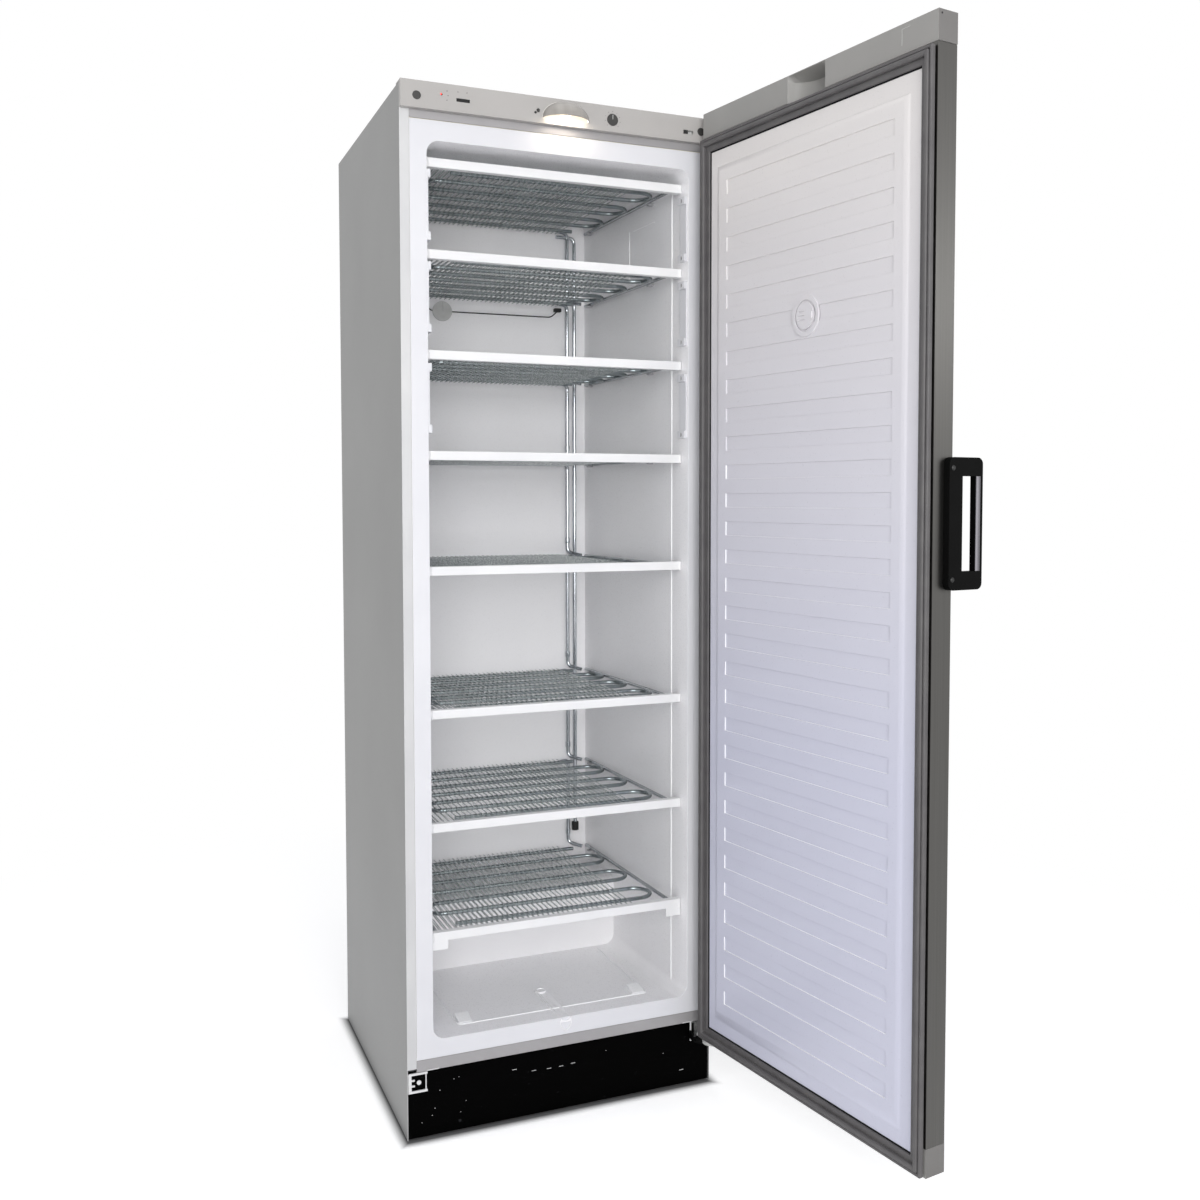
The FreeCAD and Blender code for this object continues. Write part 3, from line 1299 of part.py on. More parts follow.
freeSide = "-cabinetWidth / 2"
skin = [(half + " - hemWidth", doorInner), (half + " - edgeBevel", doorInner),
        (half, doorInner + " - edgeBevel")]
skin += [(half, doorOuter), (freeSide, doorOuter), (freeSide, doorInner),
         (freeSide + " + hemWidth", doorInner)]
skin += [(freeSide + " + hemWidth", doorInner + " - steelSheet"),
         (freeSide + " + steelSheet", doorInner + " - steelSheet")]
skin += [(freeSide + " + steelSheet", doorOuter + " + steelSheet"),
         (half + " - steelSheet", doorOuter + " + steelSheet")]
skin += [(half + " - steelSheet", doorInner + " - edgeBevel - steelSheet * 0.42")]
skin += [(half + " - edgeBevel - steelSheet * 0.42", doorInner + " - steelSheet")]
skin += [(half + " - hemWidth", doorInner + " - steelSheet")]
pan = slab("door_skin", "XY", skin, panBottom, capBottom + " - capSeam")
armRoom = rect(half + " - armClear", half + " + 1", doorOuter + " - 1", doorInner + " + 1")
hang(cut(pan, "XY", armRoom, panTop, capBottom + " + 1"))


def capOutline(proud):
    """The door's plan at a cap: square but for the bevel beside the hinge."""
    outline = [("%s - %s" % (freeSide, proud), doorOuter), (half, doorOuter),
               (half, doorInner + " - edgeBevel")]
    return outline + [(half + " - edgeBevel", doorInner), ("%s - %s" % (freeSide, proud), doorInner)]


plugOutline = rect(freeSide + " + spigotInset", half + " - armClear - spigotInset",
                   doorOuter + " + spigotInset",
                   doorInner + " - spigotInset")
bushHole = roundHole(axisX, axisY, "pinRadius + bushWall + seamGap", 20)
cap = slab("door_top_cap", "XY", capOutline("capProud"), capBottom, "cabinetHeight")
pad(cap, "XY", plugOutline, panTop + " - spigotHeight", capBottom)


def scoopOutline(share):
    """Plan of the hollow that clears the lamp's cowl: an arc in chords, at a share of its full depth."""
    bend = 2 * math.atan(value("scoopDepth") / value("scoopHalf"))
    corners = [("scoopHalf", doorInner + " + 1"), ("-scoopHalf", doorInner + " + 1")]
    for step in range(scoopChords + 1):
        turn = bend * (2 * step / scoopChords - 1)
        across = math.sin(turn) / math.sin(bend)
        deep = share * (math.cos(turn) - math.cos(bend)) / (1 - math.cos(bend))
        corners.append(("scoopHalf * %.5f" % across, doorInner + " - scoopDepth * %.5f" % deep))
    return corners


scoopChords = 10
cut(cap, "XY", scoopOutline(1), capBottom + " - 1", "scoopStep")
slope = cap.newObject("PartDesign::SubtractiveLoft", "scoopCeiling")
slope.Profile = drawn(cap, "XY", scoopOutline(1), "scoopStep")
slope.Sections = [drawn(cap, "XY", scoopOutline(0.05), "cabinetHeight - capLip")]
slope.Ruled = True
cut(cap, "XY", bushHole, capBottom + " - 1", capBottom + " + bushLength + 1")
hang(cap)

cap = slab("door_bottom_cap", "XY", capOutline("capProud / 2"), "doorBottom", panBottom)
pad(cap, "XY", plugOutline, panBottom, panBottom + " + spigotHeight")
cut(cap, "XY", bushHole, "doorBottom - 1", "doorBottom + lowerBushLength + 0.5")
hang(cap)

coreNear = doorInner + " - steelSheet - seamGap"
coreFar = doorOuter + " + steelSheet + seamGap"
coreLeft = freeSide + " + steelSheet + seamGap"
coreRight = half + " - steelSheet - seamGap"
core = [(coreLeft, coreFar), (coreRight, coreFar), (coreRight, coreNear + " - edgeBevel")]
core += [(coreRight + " - edgeBevel", coreNear), (coreLeft, coreNear)]
hang(slab("door_foam", "XY", core, panBottom + " + spigotHeight + seamGap",
          panTop + " - spigotHeight - seamGap"))

sheetSide = "(cabinetWidth / 2 - doorLinerSide)"
lining = slab("door_liner", "XZ", rect("-" + sheetSide, sheetSide, "doorLinerBottom", "doorLinerTop"),
              doorInner, linerFace)
pad(lining, "XZ", rect("-fieldHalf", "fieldHalf", "fieldBottom", "fieldTop"), linerFace, fieldFace)
groove = rect("-grooveHalf", "grooveHalf", "grooveTop - grooveHeight / 2", "grooveTop + grooveHeight / 2")
cut(lining, "XZ", groove, fieldFace + " - grooveDepth", fieldFace + " + 1")
first = lining.Tip
rows = lining.newObject("PartDesign::LinearPattern", "grooveRows")
rows.Originals = [first]
rows.Direction = (first.Profile[0], ["V_Axis"])
rows.Reversed = True
rows.setExpression("Length", bound("groovePitch * (grooveCount - 1)"))
rows.setExpression("Occurrences", bound("grooveCount"))
lining.Tip = rows
hang(lining)

outerRing = rect("-cabinetWidth / 2 + gasketInset / 2", half + " - gasketInset", "gasketBottom",
                 "gasketTop")
innerRing = rect("-cabinetWidth / 2 + gasketInset / 2 + gasketWidth", half + " - gasketInset - gasketWidth",
                 "gasketBottom + gasketWidth", "gasketTop - gasketWidth")
seal = slab("door_gasket", "XZ", outerRing, linerFace, linerFace + " + gasketHeight")
cut(seal, "XZ", innerRing, linerFace + " - 1", linerFace + " + gasketHeight + 1")
foldOuter = rect("-cabinetWidth / 2 + gasketInset / 2 + 8", half + " - gasketInset - 8",
                 "gasketBottom + 8", "gasketTop - 8")
foldInner = rect("-cabinetWidth / 2 + gasketInset / 2 + 8 + gasketFold",
                 half + " - gasketInset - 8 - gasketFold",
                 "gasketBottom + 8 + gasketFold", "gasketTop - 8 - gasketFold")
cut(seal, "XZ", [foldOuter, foldInner], linerFace + " + gasketHeight / 2",
    linerFace + " + gasketHeight + 1")
hang(seal)

facingBack = FreeCAD.Rotation(Vector(1, 0, 0), -90)
facingLeft = FreeCAD.Rotation(Vector(0, 1, 0), -90)
profile = [("0", "0"), ("valveRadius", "0"), ("valveRadius", "valveHeight * 0.6"),
           ("valveRadius - 3", "valveHeight")]
profile += [("valveCore + 3", "valveHeight"), ("valveCore + 1", "valveHeight / 2"),
            ("valveCore", "valveHeight / 2")]
profile += [("valveCore - 1", "valveHeight * 0.8"), ("0", "valveHeight * 0.8")]
valve = place(facetTurned("valve_disc", profile, 24), "-valveOffset", fieldFace, "valveLevel", facingBack)
hang(group("pressure_valve", [valve]))

gripNear = "(-cabinetDepth / 2 - doorGap - handleStart)"
gripFar = "(-cabinetDepth / 2 - doorGap - handleEnd)"
gripSide = "(-cabinetWidth / 2 - handleThickness)"
slotNear = "(-cabinetDepth / 2 - doorGap - slotStart)"
slotFar = "(-cabinetDepth / 2 - doorGap - slotEnd)"
slotLow = "(handleBottom + slotMargin)"
slotHigh = "(handleTop - slotMargin)"
handle = slab("door_handle", "YZ", rect(gripFar, gripNear, "handleBottom", "handleTop"), gripSide, freeSide)
rounded(handle, "handleCorner", lambda edge: runsAlong(edge, Vector(1, 0, 0)))
cut(handle, "YZ", rect(slotFar, slotNear, slotLow, slotHigh), gripSide + " - 1", freeSide + " + 1")
inlaySeat = rect(slotFar + " - inlayWidth", slotFar, slotLow, slotHigh)
cut(handle, "YZ", inlaySeat, gripSide + " - 1", gripSide + " + inlayDepth")
hang(handle)
inlay = rect(slotFar + " - inlayWidth + 0.1", slotFar, slotLow + " + 0.1", slotHigh + " - 0.1")
hang(slab("handle_inlay", "YZ", inlay, gripSide, gripSide + " + inlayDepth"))

screws = []
screwY = "(-cabinetDepth / 2 - doorGap - handleStart - screwInset / 2)"
for level in ("handleBottom + screwInset", "handleTop - screwInset"):
    profile = [("0", "0"), ("screwRadius", "0"), ("screwRadius * 0.6", "screwHead"), ("0", "screwHead")]
    head = facetTurned("screw_%d" % len(screws), profile, 12)
    screws.append(place(head, gripSide, screwY, level, facingLeft))
hang(group("handle_screws", screws))

bore = "pinRadius + runningGap"
sleeveOuter = "pinRadius + bushWall"
sleeve = roundHole(axisX, axisY, sleeveOuter, 20)
upperBush = slab("bush_upper", "XY", sleeve, capBottom, capBottom + " + bushLength")
cut(upperBush, "XY", (axisX, axisY, bore), capBottom + " - 1", capBottom + " + bushLength + 1")
lowest = plateTop + " + 0.4"
lowerBush = slab("bush_lower", "XY", roundHole(axisX, axisY, "housingRadius", 24), lowest, "doorBottom")
pad(lowerBush, "XY", sleeve, "doorBottom", "doorBottom + lowerBushLength")
cut(lowerBush, "XY", (axisX, axisY, bore), lowest + " - 1", "doorBottom + lowerBushLength + 1")
hang(group("hinge_bushes", [upperBush, lowerBush]))


# ---- checks and files --------------------------------------------------------------------------------

doc.recompute()
for item in doc.Objects:
    if "Invalid" in item.State or "Error" in item.State:
        raise RuntimeError("%s did not build: %s" % (item.Label, item.State))
os.makedirs("parts", exist_ok=True)
for piece in pieces:
    if piece.Shape.isNull() or not piece.Shape.isValid():
        raise RuntimeError(piece.Label + " has no valid shape")
    piece.Shape.exportStep("parts/%s.step" % piece.Label)
print(len(pieces), "pieces written")
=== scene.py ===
import math

import bpy
from mathutils import Euler, Matrix, Vector


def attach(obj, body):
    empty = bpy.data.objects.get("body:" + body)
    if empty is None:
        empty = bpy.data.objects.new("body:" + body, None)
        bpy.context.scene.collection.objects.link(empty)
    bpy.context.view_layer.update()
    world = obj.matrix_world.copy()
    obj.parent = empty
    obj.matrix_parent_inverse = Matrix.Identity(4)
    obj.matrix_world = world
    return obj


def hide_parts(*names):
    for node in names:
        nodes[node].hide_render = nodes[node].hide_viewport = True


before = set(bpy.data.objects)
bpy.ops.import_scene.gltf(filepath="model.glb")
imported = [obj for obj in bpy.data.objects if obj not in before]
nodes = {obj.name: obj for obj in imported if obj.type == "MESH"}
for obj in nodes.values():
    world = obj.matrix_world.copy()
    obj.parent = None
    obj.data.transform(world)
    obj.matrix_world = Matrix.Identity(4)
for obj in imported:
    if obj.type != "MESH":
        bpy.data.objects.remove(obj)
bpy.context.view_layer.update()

hinge = {"across": 0.2875, "along": -0.321, "opened": 98.5}
shelfLevels = [1.724, 1.566, 1.3915, 1.215, 1.0105, 0.755, 0.551, 0.354]


def deselectAll():
    if bpy.context.mode != "OBJECT":
        bpy.ops.object.mode_set(mode="OBJECT")
    bpy.ops.object.select_all(action="DESELECT")


def pick(piece):
    deselectAll()
    piece.select_set(True)
    bpy.context.view_layer.objects.active = piece
    return piece


def startEdit(piece, mode="FACE"):
    pick(piece)
    bpy.ops.object.mode_set(mode="EDIT")
    bpy.ops.mesh.select_mode(type=mode)
    bpy.ops.mesh.select_all(action="DESELECT")
    bpy.ops.object.mode_set(mode="OBJECT")


def endEdit():
    bpy.ops.object.mode_set(mode="OBJECT")


def settle(piece):
    pick(piece)
    bpy.ops.object.transform_apply(location=True, rotation=True, scale=True)
    return piece


def applyAll(piece):
    pick(piece)
    for modifier in list(piece.modifiers):
        bpy.ops.object.modifier_apply(modifier=modifier.name)
    return piece


def smooth(piece, angle=40):
    pick(piece)
    bpy.ops.object.shade_smooth_by_angle(angle=math.radians(angle))
    return piece


def evenNormals(piece):
    # large flat faces keep their own shading next to rounded edges
    pick(piece)
    weights = piece.modifiers.new("normals", "WEIGHTED_NORMAL")
    weights.keep_sharp = True
    weights.weight = 80
    return applyAll(piece)


def softenEdges(piece, width, segments=2, angle=35):
    bevel = piece.modifiers.new("edges", "BEVEL")
    bevel.width = width
    bevel.segments = segments
    bevel.limit_method = "ANGLE"
    bevel.angle_limit = math.radians(angle)
    bevel.use_clamp_overlap = True
    applyAll(piece)
    return evenNormals(smooth(piece))


def block(name, low, high, soft=0.0, segments=2):
    size = [b - a for a, b in zip(low, high)]
    middle = [(a + b) / 2 for a, b in zip(low, high)]
    deselectAll()
    bpy.ops.mesh.primitive_cube_add(size=1, location=middle)
    piece = bpy.context.object
    piece.name = name
    piece.scale = size
    settle(piece)
    return softenEdges(piece, soft, segments) if soft else piece


def drum(name, middle, radius, depth, axis=(0, 0, 1), sides=32, soft=0.0):
    deselectAll()
    turn = Vector((0, 0, 1)).rotation_difference(Vector(axis)).to_euler()
    bpy.ops.mesh.primitive_cylinder_add(vertices=sides, radius=radius, depth=depth, location=middle, rotation=turn)
    piece = bpy.context.object
    piece.name = name
    settle(piece)
    return softenEdges(piece, soft) if soft else piece


def tube(name, points, radius, sides=8, closed=False, corner=0.0):
    # a poly curve with a round section, made a mesh; corners are rounded by short chords
    path = [Vector(point) for point in points]
    if corner:
        path = roundCorners(path, corner, closed)
    deselectAll()
    bpy.ops.curve.primitive_nurbs_path_add(location=(0, 0, 0))
    piece = bpy.context.object
    curve = piece.data
    curve.splines.clear()
    spline = curve.splines.new("POLY")
    spline.points.add(len(path) - 1)
    for spot, place in zip(spline.points, path):
        spot.co = (place.x, place.y, place.z, 1)
    spline.use_cyclic_u = closed
    spline.use_smooth = True
    curve.dimensions = "3D"
    curve.bevel_depth = radius
    curve.bevel_resolution = max(0, sides // 4 - 1)
    curve.use_fill_caps = not closed
    bpy.ops.object.convert(target="MESH")
    piece = bpy.context.object
    piece.name = name
    return smooth(piece, 60)


def roundCorners(path, radius, closed=False, steps=6):
    if closed:
        path = [path[-1]] + path + [path[0]]
    result = [] if closed else [path[0]]
    for before, corner, after in zip(path, path[1:], path[2:]):
        inward = (before - corner).normalized()
        onward = (after - corner).normalized()
        opening = inward.angle(onward)
        if opening > math.radians(176):
            result.append(corner)
            continue
        reach = radius / math.tan(opening / 2)
        start = corner + inward * reach
        finish = corner + onward * reach
        for step in range(steps + 1):
            share = step / steps
            result.append(start.lerp(corner, share).lerp(corner.lerp(finish, share), share))
    if not closed:
        result.append(path[-1])
    return result


def join(name, pieces):
    deselectAll()
    for piece in pieces:
        piece.select_set(True)
    bpy.context.view_layer.objects.active = pieces[0]
    bpy.ops.object.join()
    whole = bpy.context.object
    whole.name = name
    return whole


def copyOf(piece, name, shift=(0, 0, 0)):
    pick(piece)
    bpy.ops.object.duplicate(linked=False)
    twin = bpy.context.object
    twin.name = name
    twin.location = shift
    return settle(twin)


def cutAway(piece, cutter):
    pick(piece)
    carve = piece.modifiers.new("carve", "BOOLEAN")
    carve.operation = "DIFFERENCE"
    carve.solver = "EXACT"
    carve.object = cutter
    bpy.ops.object.modifier_apply(modifier=carve.name)
    pick(cutter)
    bpy.ops.object.delete()
    return pick(piece)


def frameRing(name, outer, inner, near, far):
    # an upright frame: outer and inner are left, low, right and high
    ring = block(name, (outer[0], near, outer[1]), (outer[2], far, outer[3]))
    hole = block("hole", (inner[0], near - 0.01, inner[1]), (inner[2], far + 0.01, inner[3]))
    return cutAway(ring, hole)


def inset(outline, step):
    return (outline[0] + step, outline[1] + step, outline[2] - step, outline[3] - step)


def swungOpen(piece):
    # a door piece is made as on the closed door, then swung out on its pins
    spot = Vector((hinge["across"], hinge["along"], 0))
    turn = Matrix.Rotation(math.radians(hinge["opened"]), 4, "Z")
    piece.matrix_world = Matrix.Translation(spot) @ turn @ Matrix.Translation(-spot)
    return settle(piece)


def onClosedDoor(point):
    # where a point of the open door lies once the door is shut
    turn = Matrix.Rotation(math.radians(-hinge["opened"]), 3, "Z")
    spot = Vector((hinge["across"], hinge["along"], 0))
    return turn @ (point - spot) + spot


def roundField(piece, field):
    # the raised field of the door liner rolls down to its border, over a wide soft slope
    near = 0.0006
    turn = Matrix.Rotation(math.radians(hinge["opened"]), 3, "Z")
    slopes = [((1, 0, 0), field["side"], lambda spot: abs(spot.x - field["half"]) < near),
              ((-1, 0, 0), field["side"], lambda spot: abs(spot.x + field["half"]) < near),
              ((0, 0, 1), field["top"], lambda spot: abs(spot.z - field["high"]) < near),
              ((0, 0, -1), field["foot"], lambda spot: abs(spot.z - field["low"]) < near)]
    for direction, reach, test in slopes:
        startEdit(piece, "VERT")
        for point in piece.data.vertices:
            spot = onClosedDoor(point.co)
            point.select = test(spot) and abs(spot.y - field["border"]) < 0.0004
        bpy.ops.object.mode_set(mode="EDIT")
        bpy.ops.transform.translate(value=turn @ Vector(direction) * reach)
        endEdit()
    startEdit(piece, "EDGE")
    points = [onClosedDoor(point.co) for point in piece.data.vertices]
    for edge in piece.data.edges:
        ends = [points[index] for index in edge.vertices]
        upright = all(abs(abs(end.x) - field["half"]) < near for end in ends)
        level = any(all(abs(end.z - height) < near for end in ends) for height in (field["low"], field["high"]))
        edge.select = (upright or level) and all(abs(end.y - field["face"]) < 0.0004 for end in ends)
    bpy.ops.object.mode_set(mode="EDIT")
    bpy.ops.mesh.bevel(offset=field["roll"], segments=4, affect="EDGES")
    endEdit()


def softCopy(nodeName, width, segments=2, angle=35):
    # the solid's own form with its edges rounded a little
    pick(nodes[nodeName])
    bpy.ops.object.duplicate(linked=False)
    piece = bpy.context.object
    piece.name = nodeName + "_soft"
    piece.parent = None
    bpy.ops.object.mode_set(mode="EDIT")
    bpy.ops.mesh.select_all(action="SELECT")
    bpy.ops.mesh.remove_doubles(threshold=0.00001)
    bpy.ops.mesh.dissolve_limited(angle_limit=math.radians(1))
    endEdit()
    if nodeName == "door_liner":
        roundField(piece, linerField)
    return softenEdges(piece, width, segments, angle)


def dress(piece, body, slotName, material, *replaced):
    piece.data.materials.clear()
    piece.data.materials.append(material)
    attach(piece, body)
    if replaced:
        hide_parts(*replaced)
    return piece


def secondMaterial(piece, material, test):
    # the faces that pass the test get a second material
    piece.data.materials.append(material)
    for face in piece.data.polygons:
        if test(face):
            face.material_index = 1


def tone(red, green, blue):
    # a colour as seen on screen, made linear
    parts = []
    for part in (red, green, blue):
        share = part / 255
        parts.append(share / 12.92 if share <= 0.04045 else ((share + 0.055) / 1.055) ** 2.4)
    return (*parts, 1)


def newFinish(name):
    material = bpy.data.materials.new(name)
    material.use_nodes = True
    tree = material.node_tree
    return material, tree.nodes, tree.links, tree.nodes["Principled BSDF"]


def grain(sheets, links, scale, stretch=(1, 1, 1), detail=3.0):
    place = sheets.new("ShaderNodeTexCoord")
    mapping = sheets.new("ShaderNodeMapping")
    mapping.inputs["Scale"].default_value = stretch
    noise = sheets.new("ShaderNodeTexNoise")
    noise.inputs["Scale"].default_value = scale
    noise.inputs["Detail"].default_value = detail
    links.new(place.outputs["Object"], mapping.inputs["Vector"])
    links.new(mapping.outputs["Vector"], noise.inputs["Vector"])
    return noise.outputs["Fac"]


def rescale(sheets, links, source, fromLow, fromHigh, low, high):
    ranger = sheets.new("ShaderNodeMapRange")
    ranger.inputs["From Min"].default_value = fromLow
    ranger.inputs["From Max"].default_value = fromHigh
    ranger.inputs["To Min"].default_value = low
    ranger.inputs["To Max"].default_value = high
    links.new(source, ranger.inputs["Value"])
    return ranger.outputs["Result"]


def ramp(sheets, links, source, first, second, begin=0.3, end=0.7):
    mixer = sheets.new("ShaderNodeValToRGB")
    mixer.color_ramp.elements[0].position = begin
    mixer.color_ramp.elements[0].color = first
    mixer.color_ramp.elements[1].position = end
    mixer.color_ramp.elements[1].color = second
    links.new(source, mixer.inputs["Fac"])
    return mixer.outputs["Color"]


def bump(sheets, links, shader, source, strength, distance):
    node = sheets.new("ShaderNodeBump")
    node.inputs["Strength"].default_value = strength
    node.inputs["Distance"].default_value = distance
    links.new(source, node.inputs["Height"])
    links.new(node.outputs["Normal"], shader.inputs["Normal"])


def height(sheets, links, low, high):
    # 0 at the low level and 1 at the high one
    place = sheets.new("ShaderNodeTexCoord")
    split = sheets.new("ShaderNodeSeparateXYZ")
    links.new(place.outputs["Object"], split.inputs["Vector"])
    return rescale(sheets, links, split.outputs["Z"], low, high, 0, 1)


def finish(name, first, second, rough, metallic=0.0, cloud=6.0, fine=400.0, relief=0.15, depth=0.0002,
           stretch=(1, 1, 1), specular=0.5):
    # a colour that drifts a little, with a fine grain in its gloss and surface
    material, sheets, links, shader = newFinish(name)
    drift = grain(sheets, links, cloud, stretch)
    detail = grain(sheets, links, fine, stretch)
    links.new(ramp(sheets, links, drift, first, second), shader.inputs["Base Color"])
    gloss = rescale(sheets, links, detail, 0.3, 0.7, rough * 0.85, min(1, rough * 1.15))
    links.new(gloss, shader.inputs["Roughness"])
    bump(sheets, links, shader, detail, relief, depth)
    shader.inputs["Metallic"].default_value = metallic
    shader.inputs["Specular IOR Level"].default_value = specular
    return material


sideGrey = finish("side_paint", tone(139, 139, 138), tone(132, 132, 131), 0.42, 0.35, 3, 900, 0.1)
railGrey = finish("rail_paint", tone(163, 161, 162), tone(156, 154, 155), 0.4, 0.2, 8, 700, 0.1)
backZinc = finish("back_zinc", tone(150, 152, 154), tone(132, 134, 137), 0.45, 0.7, 30, 300, 0.15)
linerWhite = finish("liner_white", tone(250, 249, 250), tone(246, 245, 247), 0.3, 0, 3, 500, 0.04)
# a darker white: the flap strips' finish, and painted shade on the liner's front rim
stripWhiteAndRimShade = finish("strip_white_and_rim_shade", tone(226, 226, 229), tone(219, 219, 223), 0.34, 0, 5, 500, 0.06)
trimWhite = finish("trim_white", tone(238, 238, 238), tone(231, 231, 232), 0.35, 0, 10, 600, 0.06)
fasciaGrey = finish("fascia_grey", tone(178, 175, 172), tone(171, 168, 165), 0.42, 0, 6, 1400, 0.12)
capGrey = finish("cap_grey", tone(154, 152, 149), tone(145, 144, 141), 0.42, 0, 6, 1200, 0.12)
plugGrey = finish("plug_grey", tone(56, 55, 53), tone(44, 43, 42), 0.5, 0, 60, 900, 0.2)
blackPlastic = finish("black_plastic", tone(12, 12, 12), tone(18, 18, 18), 0.45, 0, 20, 900, 0.25)
handleBlack = finish("handle_black", tone(5, 5, 5), tone(8, 8, 8), 0.5, 0, 30, 900, 0.15, specular=0.06)
# grey for the white shelf supports: painted shade, as dark as the shaded wall behind them
supportPaintedShade = finish("support_painted_shade", tone(172, 171, 174), tone(160, 159, 162), 0.5, 0, 40, 600, 0.1)
screwGrey = finish("screw_grey", tone(168, 167, 166), tone(140, 139, 138), 0.35, 0.6, 90, 600, 0.1)
markBlack = finish("mark_black", tone(24, 24, 24), tone(34, 33, 33), 0.6, 0, 80, 900, 0.1)
sealGrey = finish("seal_rubber", tone(94, 92, 92), tone(84, 82, 83), 0.5, 0, 30, 700, 0.2)
# a near black copy of the seal rubber: painted shade in the gap between gasket and liner
sealPaintedShade = finish("seal_painted_shade", tone(20, 19, 22), tone(14, 13, 16), 0.7, 0, 30, 700, 0.3, specular=0.2)
blackRubber = finish("black_rubber", tone(20, 20, 20), tone(28, 28, 28), 0.7, 0, 40, 800, 0.3)
foamCream = finish("foam", tone(216, 210, 192), tone(202, 195, 176), 0.9, 0, 60, 500, 0.6, 0.001)
sensorGrey = finish("sensor_grey", tone(206, 206, 204), tone(192, 192, 190), 0.45, 0, 60, 900, 0.2)
machineBlack = finish("machine_black", tone(22, 22, 22), tone(30, 30, 30), 0.35, 0.1, 20, 300, 0.15)
baseZinc = finish("base_zinc", tone(140, 142, 144), tone(120, 122, 125), 0.4, 0.8, 40, 300, 0.15)
wireSilver = finish("shelf_wire", tone(208, 213, 212), tone(172, 179, 178), 0.26, 0.55, 60, 500, 0.1)
tubeGrey = finish("shelf_tube", tone(150, 158, 160), tone(122, 130, 132), 0.18, 0.95, 40, 400, 0.05)
barSteel = finish("shelf_bar", tone(176, 180, 182), tone(148, 152, 155), 0.16, 1.0, 30, 300, 0.05)
riserChrome = finish("riser_chrome", tone(196, 200, 204), tone(176, 180, 186), 0.14, 1.0, 30, 300, 0.05)
copperTube = finish("copper", tone(196, 120, 84), tone(168, 92, 62), 0.28, 1.0, 40, 400, 0.1)
hingeSteel = finish("hinge_steel", tone(196, 196, 196), tone(176, 176, 176), 0.3, 0.9, 60, 500, 0.1)
bracketWhite = finish("bracket_white", tone(226, 226, 226), tone(214, 214, 214), 0.4, 0.1, 40, 600, 0.1)
bushWhite = finish("bush_white", tone(216, 216, 214), tone(204, 204, 202), 0.4, 0, 60, 800, 0.1)
inlaySilver = finish("inlay_metal", tone(178, 176, 182), tone(52, 50, 54), 0.3, 0.9, 1, 500, 0.1,
                     stretch=(420, 420, 2))
displayBlack = finish("display_black", tone(10, 10, 11), tone(14, 14, 15), 0.12, 0, 60, 600, 0.03)
doorSteel = finish("door_steel", tone(101, 100, 98), tone(96, 95, 93), 0.34, 1.0, 9, 500, 0.06, 0.0001, (40, 40, 0.4))
# a lighter copy of the side paint: painted highlight on the left side panel's front return
flangePaintedHighlight = finish("flange_painted_highlight", tone(206, 206, 206), tone(196, 196, 197), 0.4, 0.1, 8, 700, 0.08)
# a darker copy of the cap grey: painted shade on the caps' free ends
capEndPaintedShade = finish("cap_end_painted_shade", tone(118, 116, 114), tone(110, 108, 106), 0.42, 0, 6, 1200, 0.12)
# near white of the floor pads and beads, also used as a painted highlight in the door liner's grooves
padWhiteAndGrooveHighlight = finish("pad_white_and_groove_highlight", tone(252, 252, 252), tone(246, 246, 248), 0.3, 0, 20, 500, 0.04)
# pale grey for a thin rod round the cowl's front edge: a painted highlight on that rim
cowlRimHighlight = finish("cowl_rim_highlight", tone(226, 224, 218), tone(208, 206, 200), 0.2, 0, 90, 600, 0.1)


def fleckedBlack():
    # near black paint with a few pale flecks
    material, sheets, links, shader = newFinish("kick_black")
    cloud = grain(sheets, links, 46, (1, 1, 1.6), 8)
    links.new(ramp(sheets, links, cloud, tone(1, 1, 1), tone(40, 40, 42), 0.68, 0.76), shader.inputs["Base Color"])
    detail = grain(sheets, links, 500)
    links.new(rescale(sheets, links, detail, 0.3, 0.7, 0.5, 0.62), shader.inputs["Roughness"])
    bump(sheets, links, shader, detail, 0.1, 0.0002)
    shader.inputs["Specular IOR Level"].default_value = 0.02
    return material


def doorLinerPaintedLight():
    # white sheet, a little warm above and cooler and darker below: painted light, warm light above and painted shade
    # with a bluish painted reflection below
    material, sheets, links, shader = newFinish("door_liner_white")
    level = height(sheets, links, 0.7, 1.75)
    paintedLightTint = ramp(sheets, links, level, tone(208, 209, 225), tone(226, 222, 220), 0.0, 1.0)
    links.new(paintedLightTint, shader.inputs["Base Color"])
    detail = grain(sheets, links, 320)
    links.new(rescale(sheets, links, detail, 0.3, 0.7, 0.27, 0.35), shader.inputs["Roughness"])
    bump(sheets, links, shader, detail, 0.03, 0.0001)
    return material


def glowing(name, colour, strength, rough=0.4):
    material, sheets, links, shader = newFinish(name)
    detail = grain(sheets, links, 120)
    links.new(ramp(sheets, links, detail, colour, tuple(part * 0.86 for part in colour[:3]) + (1,)),
              shader.inputs["Base Color"])
    shader.inputs["Roughness"].default_value = rough
    shader.inputs["Emission Color"].default_value = colour
    shader.inputs["Emission Strength"].default_value = strength
    return material


kickBlack = fleckedBlack()
doorWhite = doorLinerPaintedLight()
cowlGrey = finish("cowl_grey", tone(168, 164, 158), tone(150, 146, 141), 0.18, 0.1, 1, 500, 0.05, stretch=(70, 1, 1))
# a glow for the cowl's inner faces: painted light standing for the bulb lighting them
cowlPaintedGlow = glowing("cowl_painted_glow", tone(255, 247, 234), 1.6)
bulbGlow = glowing("bulb_glow", tone(255, 240, 205), 6.0)
ledRed = glowing("led_red", tone(255, 60, 50), 1.2)
print("finishes ready")

